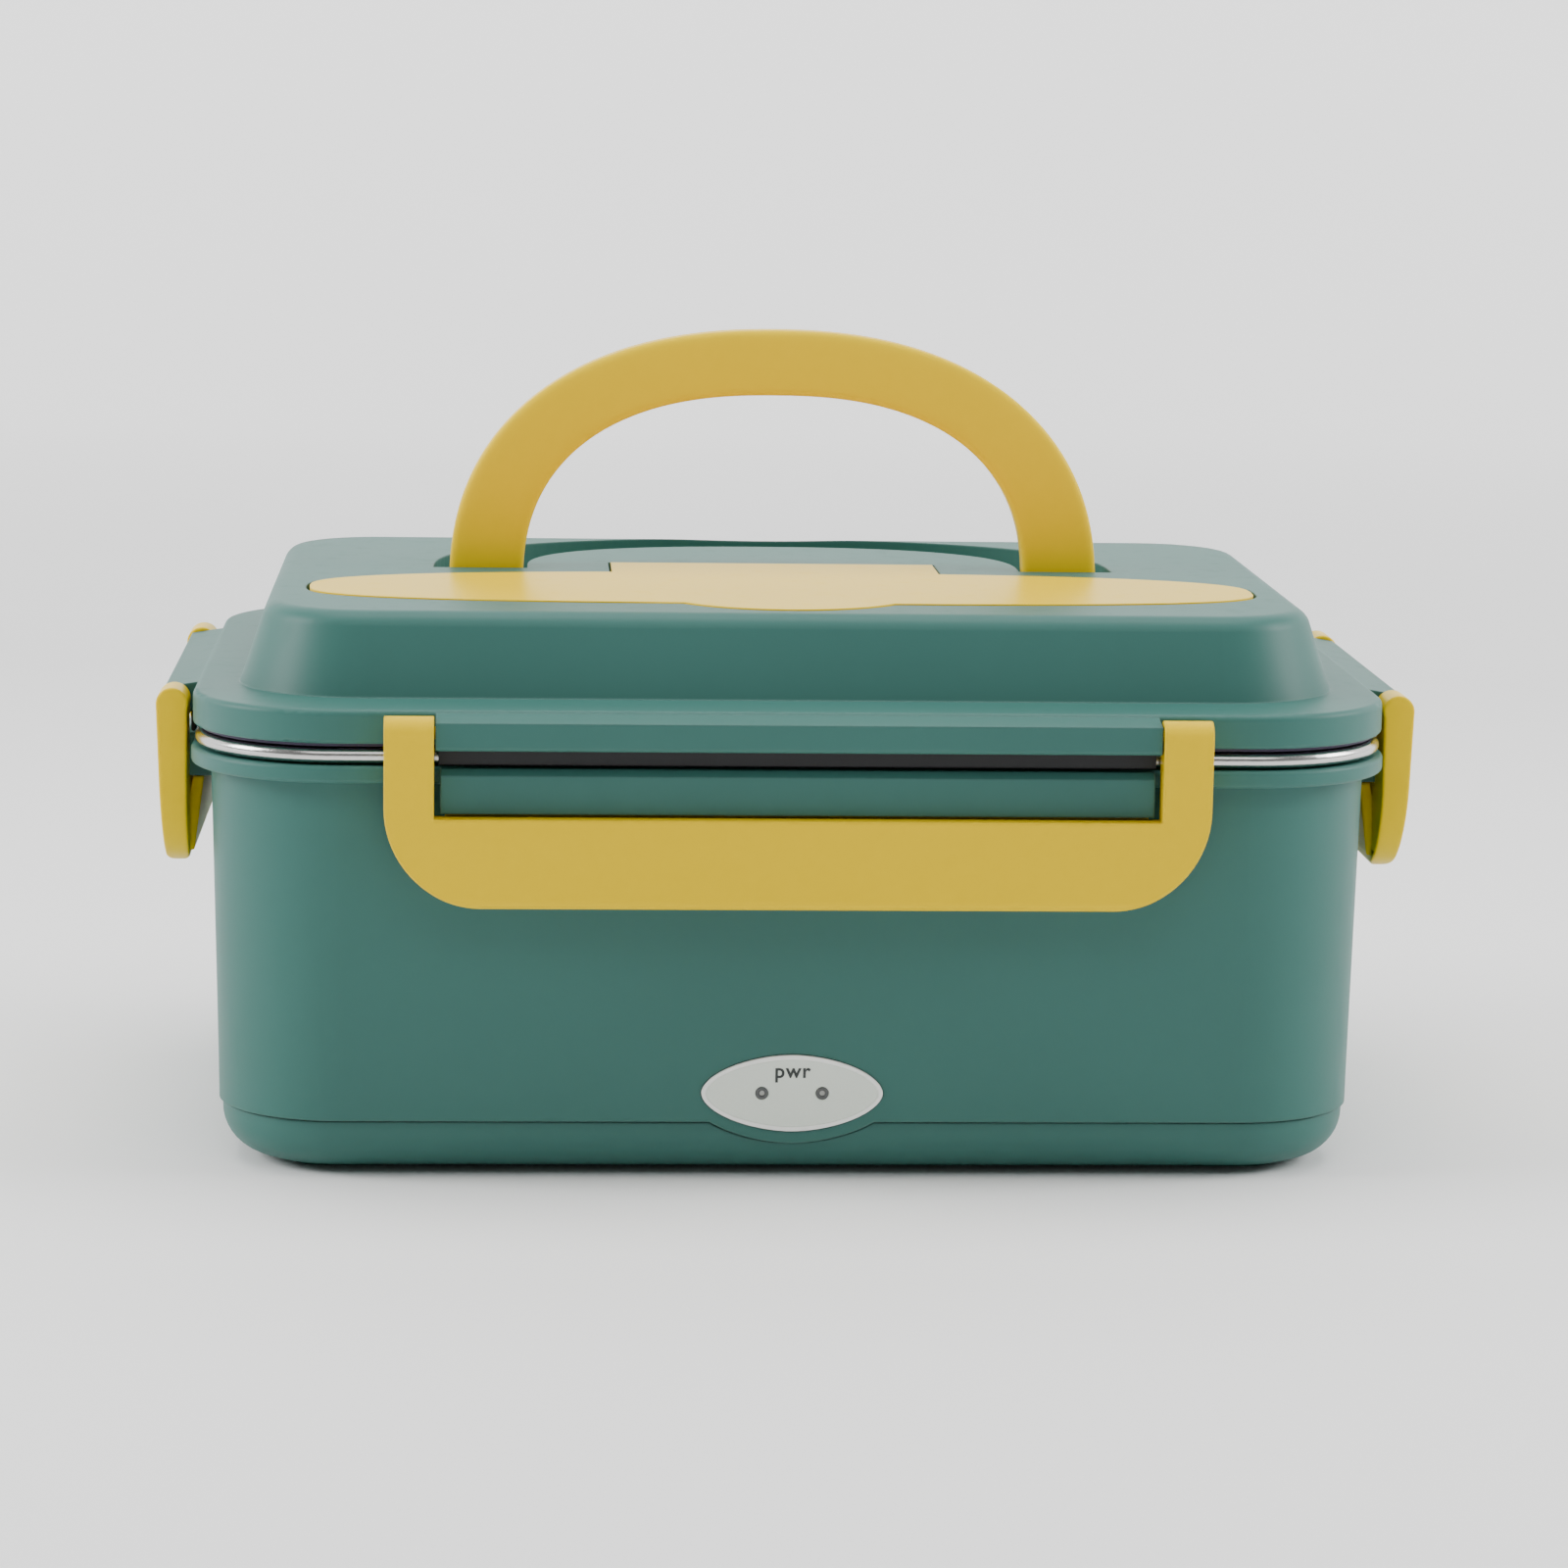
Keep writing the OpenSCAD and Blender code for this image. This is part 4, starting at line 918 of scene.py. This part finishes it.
@dataclass
class Lid(Workshop):
    """Lid with its seal, liner, cutlery compartment and what lies in it."""

    cover_ease: float = 0.7 * MM
    bowl_length: float = 44 * MM
    bowl_depth: float = 2.3 * MM
    sheet: float = 1.1 * MM
    least_half: float = 0.02 * MM
    stem_half: float = 3.4 * MM
    neck_half: float = 2.3 * MM
    neck_end: float = 48 * MM
    stem_taper: float = 60 * MM
    spoon_arch: Point = (1.3 * MM, 56 * MM, 17 * MM)
    fork_arch: Point = (1.2 * MM, 58 * MM, 16 * MM)
    head_length: float = 46 * MM
    slot_length: float = 29 * MM
    slot_width: float = 2.1 * MM
    tine_count: int = 4
    tine_slim: float = 0.62
    tine_tip: float = 1.6 * MM
    tine_lift: float = 2.2 * MM
    palm_overlap: float = 1.5 * MM
    tine_overlap: float = 1.0 * MM
    # Size of the dark lips that stand in for the shade in the clip slots.
    shade_lip_span: Span = (83.4 * MM, 87.5 * MM)
    shade_lip_gap: float = 0.7 * MM
    shade_lip_thick: float = 0.95 * MM
    clip_arm: float = 10.4 * MM

    def shade_lips(self) -> bpy.types.Mesh:
        """Builds dark lips that hang from the lugs in front of the steel rim: painted shade
        standing in for the shadow in the slots between lug and catch.

        Returns:
            The mesh of the four lips.
        """
        _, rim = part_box("steel_container")
        half = self.shade_lip_thick / 2
        bottom, top = self.shade_lip_span[0] + half, self.shade_lip_span[1]
        outline = [(half * math.cos(a), bottom - half * math.sin(a))
                   for a in (math.pi * i / 12 for i in range(13))]
        outline += [(-half, top), (half, top)]
        four = bmesh.new()
        for clip, axis in (("front_clip", 0), ("left_clip", 1)):
            low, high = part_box(clip)
            reach = (high[axis] - low[axis]) / 2 - self.clip_arm
            out = rim[1 - axis] + self.shade_lip_gap + half
            for side in (-1.0, 1.0):
                rings = []
                for along in (-reach, reach):
                    flat = [(along, side * (out + u)) for u, _ in outline]
                    rings.append([(*(p if axis == 0 else p[::-1]), z)
                                  for p, (_, z) in zip(flat, outline)])
                four.from_mesh(loft(rings, "shade_lip"))
        return smooth(four, "lug_shade_lips")

    def stem(self, along: float, length: float) -> float:
        """Finds half the width of a stem that narrows to the neck.

        Args:
            along: Distance from the tip of the head.
            length: Whole length of the piece of cutlery.

        Returns:
            Half the width there.
        """
        share = min(1.0, max(0.0, (along - self.neck_end) / self.stem_taper))
        half = self.neck_half + (self.stem_half - self.neck_half) * share
        left = max(0.0, length - along) / self.stem_half
        return half * math.sqrt(max(0.0, 1 - (1 - min(1.0, left)) ** 2))

    @staticmethod
    def arched(along: float, arch: Point) -> float:
        """Returns the rise at a distance along an arch of given height, middle and reach."""
        return arch[0] * math.exp(-((along - arch[1]) / arch[2]) ** 2)

    def strip(self, stations: Sequence[tuple[float, float, float, float, float]],
              name: str) -> bpy.types.Mesh:
        """Skins a rounded metal strip.

        Args:
            stations: x, middle y, half width, height of the middle and rise of the edges.
            name: Name of the mesh.

        Returns:
            The closed mesh.
        """
        across = [math.cos(math.pi * i / 16) for i in range(17)]
        rings = []
        for x, middle, half, height, rise in stations:
            top = [(x, middle + half * c, height + rise * abs(c) ** 2.2
                    + self.sheet * 0.5 * (1 + (1 - c ** 8))) for c in across]
            under = [(x, middle + half * 0.985 * c, height + rise * abs(c) ** 2.2
                      + self.sheet * 0.5 * c ** 8) for c in across[-2:0:-1]]
            rings.append(top + under)
        return loft(rings, name)

    def spoon(self) -> bpy.types.Mesh:
        """Builds a spoon with a dished bowl and an arched neck.

        Returns:
            The mesh.
        """
        low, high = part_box("spoon")
        length, middle = high[0] - low[0], (low[1] + high[1]) / 2
        bowl_half = (high[1] - low[1]) / 2
        stations = []
        for i in range(97):
            along = length * (0.5 - 0.5 * math.cos(math.pi * i / 96))
            inside = min(1.0, along / self.bowl_length)
            bowl = bowl_half * max(0.0, 1 - abs(2 * inside ** 0.9 - 1) ** 2.1) ** 0.5
            blend = min(1.0, max(0.0, along / self.bowl_length - 0.6) / 0.4)
            stem = self.stem(along, length) * blend
            half = max(self.least_half, (bowl ** 4 + stem ** 4) ** 0.25)
            dish = self.bowl_depth * (bowl / bowl_half) ** 0.8
            neck = self.arched(along, self.spoon_arch)
            stations.append((low[0] + along, middle, half, low[2] + neck, dish))
        return self.strip(stations, "table_spoon")

    def fork(self) -> bpy.types.Mesh:
        """Builds a fork with four rounded tines that curve up.

        Returns:
            The mesh.
        """
        low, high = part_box("fork")
        length, middle = high[0] - low[0], (low[1] + high[1]) / 2
        head_half = (high[1] - low[1]) / 2
        tine = (head_half * 2 - (self.tine_count - 1) * self.slot_width) / (2 * self.tine_count)

        def station(along: float, across: float, half: float) -> tuple[float, ...]:
            """Returns one station of a strip at a distance from the tips."""
            tips = max(0.0, 1 - along / self.head_length) ** 2 * self.tine_lift
            return (high[0] - along, across, max(self.least_half, half),
                    low[2] + tips + self.arched(along, self.fork_arch), 0.0)

        palm = []
        start = self.slot_length - self.palm_overlap
        for i in range(61):
            along = start + (length - start) * i / 60
            share = (along - self.slot_length) / (self.head_length - self.slot_length)
            share = min(1.0, max(0.0, share))
            head = head_half * (1 - share ** 2.6) ** 0.55 if share < 1 else 0.0
            stem = self.stem(along, length) * share
            palm.append(station(along, middle, (head ** 4 + stem ** 4) ** 0.25))
        whole = bmesh.new()
        whole.from_mesh(self.strip(palm, "palm"))
        for place in range(self.tine_count):
            across = middle + (place - (self.tine_count - 1) / 2) * (2 * tine + self.slot_width)
            prong = []
            for i in range(33):
                along = (self.slot_length + self.tine_overlap) * i / 32
                half = tine * (self.tine_slim + (1 - self.tine_slim) * along / self.slot_length)
                half *= math.sqrt(max(0.0, 1 - max(0.0, 1 - along / self.tine_tip) ** 2))
                prong.append(station(along, across, half))
            whole.from_mesh(self.strip(prong, "prong"))
        return smooth(whole, "table_fork", 50.0)

    def build(self) -> None:
        """Dresses every node of the lid."""
        self.paint_nodes(lid_shell=Finish.SHELL, inner_lid=Finish.LINER, seal_ring=Finish.SEAL,
                         vent_plug=Finish.PLUG, cover_hinge_pin=Finish.ZINC)
        # Dark lips over the steel rim in the clip slots: painted shade.
        self.piece("lug_shade_lips", self.shade_lips(), "lid", Finish.SHADE_LIPS, "seal_ring")
        self.piece("table_spoon", self.spoon(), "lid", Finish.POLISHED, "cutlery", ("spoon",))
        self.piece("table_fork", self.fork(), "lid", Finish.POLISHED, "cutlery", ("fork",))
        self.piece("cutlery_lid", self.eased("cutlery_cover", self.cover_ease), "cutlery_cover",
                   Finish.YELLOW, "cutlery_cover", ("cutlery_cover",))


@dataclass
class Clips(Workshop):
    """The four clips."""

    ease: float = 0.8 * MM

    def build(self) -> None:
        """Builds the clips with rounded edges."""
        for side in ("front", "back", "left", "right"):
            node = side + "_clip"
            self.piece(side + "_latch", self.eased(node, self.ease), node, Finish.YELLOW,
                       "clips", (node,))


@dataclass
class Handle(Workshop):
    """Arched handle between two squared-off ellipses, with its pivot pins."""

    pivot: Span = (18.5 * MM, 106.6 * MM)
    outer: Span = (69.0 * MM, 54.6 * MM)
    inner: Span = (53.3 * MM, 40.7 * MM)
    outer_power: float = 2.28
    inner_power: float = 2.42
    thickness: float = 7.5 * MM
    squareness: float = 7.0
    stations: int = 121
    points: int = 40
    end_share: float = 0.07
    pin: float = 2.0 * MM
    pin_chamfer: float = 0.5 * MM
    pin_root: float = 4.0 * MM

    def arch(self) -> bpy.types.Mesh:
        """Builds the arch in Geometry Nodes.

        Returns:
            The mesh of the arch with its rounded leg ends.
        """
        tree = NodeRecipe("handle_arch", {
            "Outer Half": self.outer[0], "Outer Rise": self.outer[1],
            "Inner Half": self.inner[0], "Inner Rise": self.inner[1],
            "Outer Power": self.outer_power, "Inner Power": self.inner_power,
            "Thickness": self.thickness, "Squareness": self.squareness,
            "Pivot Y": self.pivot[0], "Pivot Z": self.pivot[1]})
        sheet, row, turn = tree.sheet(self.stations, self.points)
        along = row / (self.stations - 1.0)
        share = self.end_share
        beyond = ((share - along).high(along - (1 - share)).high(0.0) / share).low(1.0)
        angle = ((along - share) / (1 - 2 * share)).high(0.0).low(1.0) * math.pi

        def powered(value: Signal, power: Signal) -> Signal:
            """Returns sign(value) * |value| ** (2 / power)."""
            return value.sign() * value.size() ** (2.0 / power)

        def edge(which: str) -> tuple[Signal, Signal]:
            """Returns x and rise of the outer or the inner outline."""
            power = tree[which + " Power"]
            return (powered(angle.cos(), power) * tree[which + " Half"],
                    powered(angle.sin(), power) * tree[which + " Rise"])

        across = powered(turn.cos(), tree["Squareness"])
        through = powered(turn.sin(), tree["Squareness"])
        x, z = ((outer + inner) / 2.0 + across * (outer - inner) / 2.0
                for outer, inner in zip(edge("Outer"), edge("Inner")))
        bend = beyond * (math.pi / 2)
        half = tree["Thickness"] / 2.0
        skin = tree.wrapped(sheet, x, through * half * bend.cos() + tree["Pivot Y"],
                            z - bend.sin() * half + tree["Pivot Z"])
        return tree.bake(skin, self.paints[Finish.YELLOW], 60.0)

    def pins(self) -> bpy.types.Mesh:
        """Builds the two pivot pins with chamfered ends.

        Returns:
            The mesh of both pins.
        """
        _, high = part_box("handle")
        steps = ((self.outer[0] - self.pin_root, self.pin),
                 (high[0] - self.pin_chamfer, self.pin), (high[0], self.pin - self.pin_chamfer))
        both = bmesh.new()
        for side in (-1.0, 1.0):
            rings = [[(side * x, self.pivot[0] + radius * math.cos(a),
                       self.pivot[1] + radius * math.sin(a))
                      for a in (2 * math.pi * i / 40 for i in range(40))] for x, radius in steps]
            both.from_mesh(loft(rings, "pin"))
        return smooth(both, "pivot_pins")

    def build(self) -> None:
        """Builds the handle with its pins."""
        self.piece("carry_handle", self.arch(), "handle", Finish.YELLOW, "handle", ("handle",))
        self.piece("handle_pins", self.pins(), "handle", Finish.YELLOW, "handle")


# -------------------- studio


@dataclass
class Studio:
    """Camera, floor and lights."""

    camera_at: Point = (-0.05553, -1.01225, 0.22962)
    turn: float = 3.253
    dip: float = 9.137
    roll: float = 0.841
    photo_pixels: float = 1600
    focal_pixels: float = 4956.85
    sensor: float = 36.0
    floor_reach: float = 14.0
    floor_drop: float = 0.2 * MM
    bend_start: float = 1.6
    bend: float = 0.8
    wall_top: float = 3.2
    glow: float = 1.1
    glow_span: Span = (0.7, 2.2)
    sky: float = 0.25
    boxes: tuple[tuple[str, Point, float, Span, float], ...] = (
        ("top_box", (0.0, 0.1, 1.5), 0.05, (1.6, 1.0), 20.0),
        ("left_box", (-1.25, -0.12, 0.7), 0.06, (0.6, 0.6), 17.0),
        ("right_box", (1.25, -0.1, 0.7), 0.06, (0.6, 0.6), 16.0),
        ("front_box", (0.0, -1.3, 1.5), 0.06, (1.8, 0.6), 8.0))

    def camera(self) -> None:
        """Sets the camera to the photograph's viewpoint."""
        yaw, pitch, roll = (math.radians(v) for v in (self.turn, self.dip, self.roll))
        ahead = Vector((math.sin(yaw) * math.cos(pitch), math.cos(yaw) * math.cos(pitch),
                        -math.sin(pitch)))
        right = Vector((math.cos(yaw), -math.sin(yaw), 0.0))
        up = right.cross(ahead)
        side = math.cos(roll) * right + math.sin(roll) * up
        top = -math.sin(roll) * right + math.cos(roll) * up
        data = bpy.data.cameras.new("view")
        data.sensor_width = self.sensor
        data.lens = self.focal_pixels / self.photo_pixels * self.sensor
        data.clip_start, data.clip_end = 0.05, 50.0
        camera = link("view", data)
        turn = Matrix((side, top, -ahead)).transposed().to_4x4()
        camera.matrix_world = Matrix.Translation(Vector(self.camera_at)) @ turn
        bpy.context.scene.camera = camera

    def lamp(self, name: str, place: Point, aim: float, size: Span, power: float) -> None:
        """Adds a soft area light.

        Args:
            name: Name of the light.
            place: Where it stands.
            aim: Height over the origin that it points at.
            size: Width and height in metres.
            power: Watts.
        """
        data = bpy.data.lights.new(name, "AREA")
        data.shape, data.size, data.size_y = "RECTANGLE", *size
        data.energy = power
        lamp = link(name, data)
        lamp.location = place
        ray = Vector((0.0, 0.0, aim)) - Vector(place)
        lamp.rotation_euler = ray.to_track_quat("-Z", "Y").to_euler()

    def sweep_floor(self) -> None:
        """Adds a wide pale floor that curves up behind the box and glows far out."""
        profile = [(-self.floor_reach, 0.0), (self.bend_start, 0.0)]
        profile += [(self.bend_start + self.bend * math.sin(a), self.bend * (1 - math.cos(a)))
                    for a in (math.radians(6 * i) for i in range(1, 16))]
        profile.append((self.bend_start + self.bend, self.wall_top))
        shape = bmesh.new()
        rows = [[shape.verts.new((x, y, z - self.floor_drop)) for y, z in profile]
                for x in (-self.floor_reach, self.floor_reach)]
        for i in range(len(profile) - 1):
            shape.faces.new((rows[0][i], rows[1][i], rows[1][i + 1], rows[0][i + 1]))
        floor = link("floor", smooth(shape, "floor"))
        skin = Skin("pale_floor")
        x, y, _ = skin.axes()
        far = ((x * x + y * y) ** 0.5).ramp(*self.glow_span)
        skin.feed(Base_Color=skin.mix(skin.noise(3.0), (0.86, 0.86, 0.86, 1), (0.9, 0.9, 0.9, 1)),
                  Emission_Color=skin.mix(far, (0.0, 0.0, 0.0, 1), (1.0, 1.0, 1.0, 1)),
                  Emission_Strength=self.glow, Roughness=0.75)
        floor.data.materials.append(skin.material)
        floor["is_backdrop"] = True

    def build(self) -> None:
        """Sets up camera, floor, world and lights."""
        self.camera()
        self.sweep_floor()
        world = bpy.data.worlds.new("studio")
        bpy.context.scene.world = world
        world.use_nodes = True
        sky = world.node_tree.nodes["Background"]
        sky.inputs["Color"].default_value = (1.0, 1.0, 1.0, 1.0)
        sky.inputs["Strength"].default_value = self.sky
        for box in self.boxes:
            self.lamp(*box)


def main() -> None:
    """Builds the box and the studio round it."""
    logging.basicConfig(level=logging.INFO, format="%(name)s: %(message)s")
    paints = Paintbox()
    Studio().build()
    for part in (Base(paints), Vessel(paints), Lid(paints), Clips(paints), Handle(paints)):
        part.build()
    low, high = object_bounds()
    ({"cad": [list(CAD_BOX[0]), list(CAD_BOX[1])],
               "visual": [list(low), list(high)]})


if __name__ == "__main__":
    main()
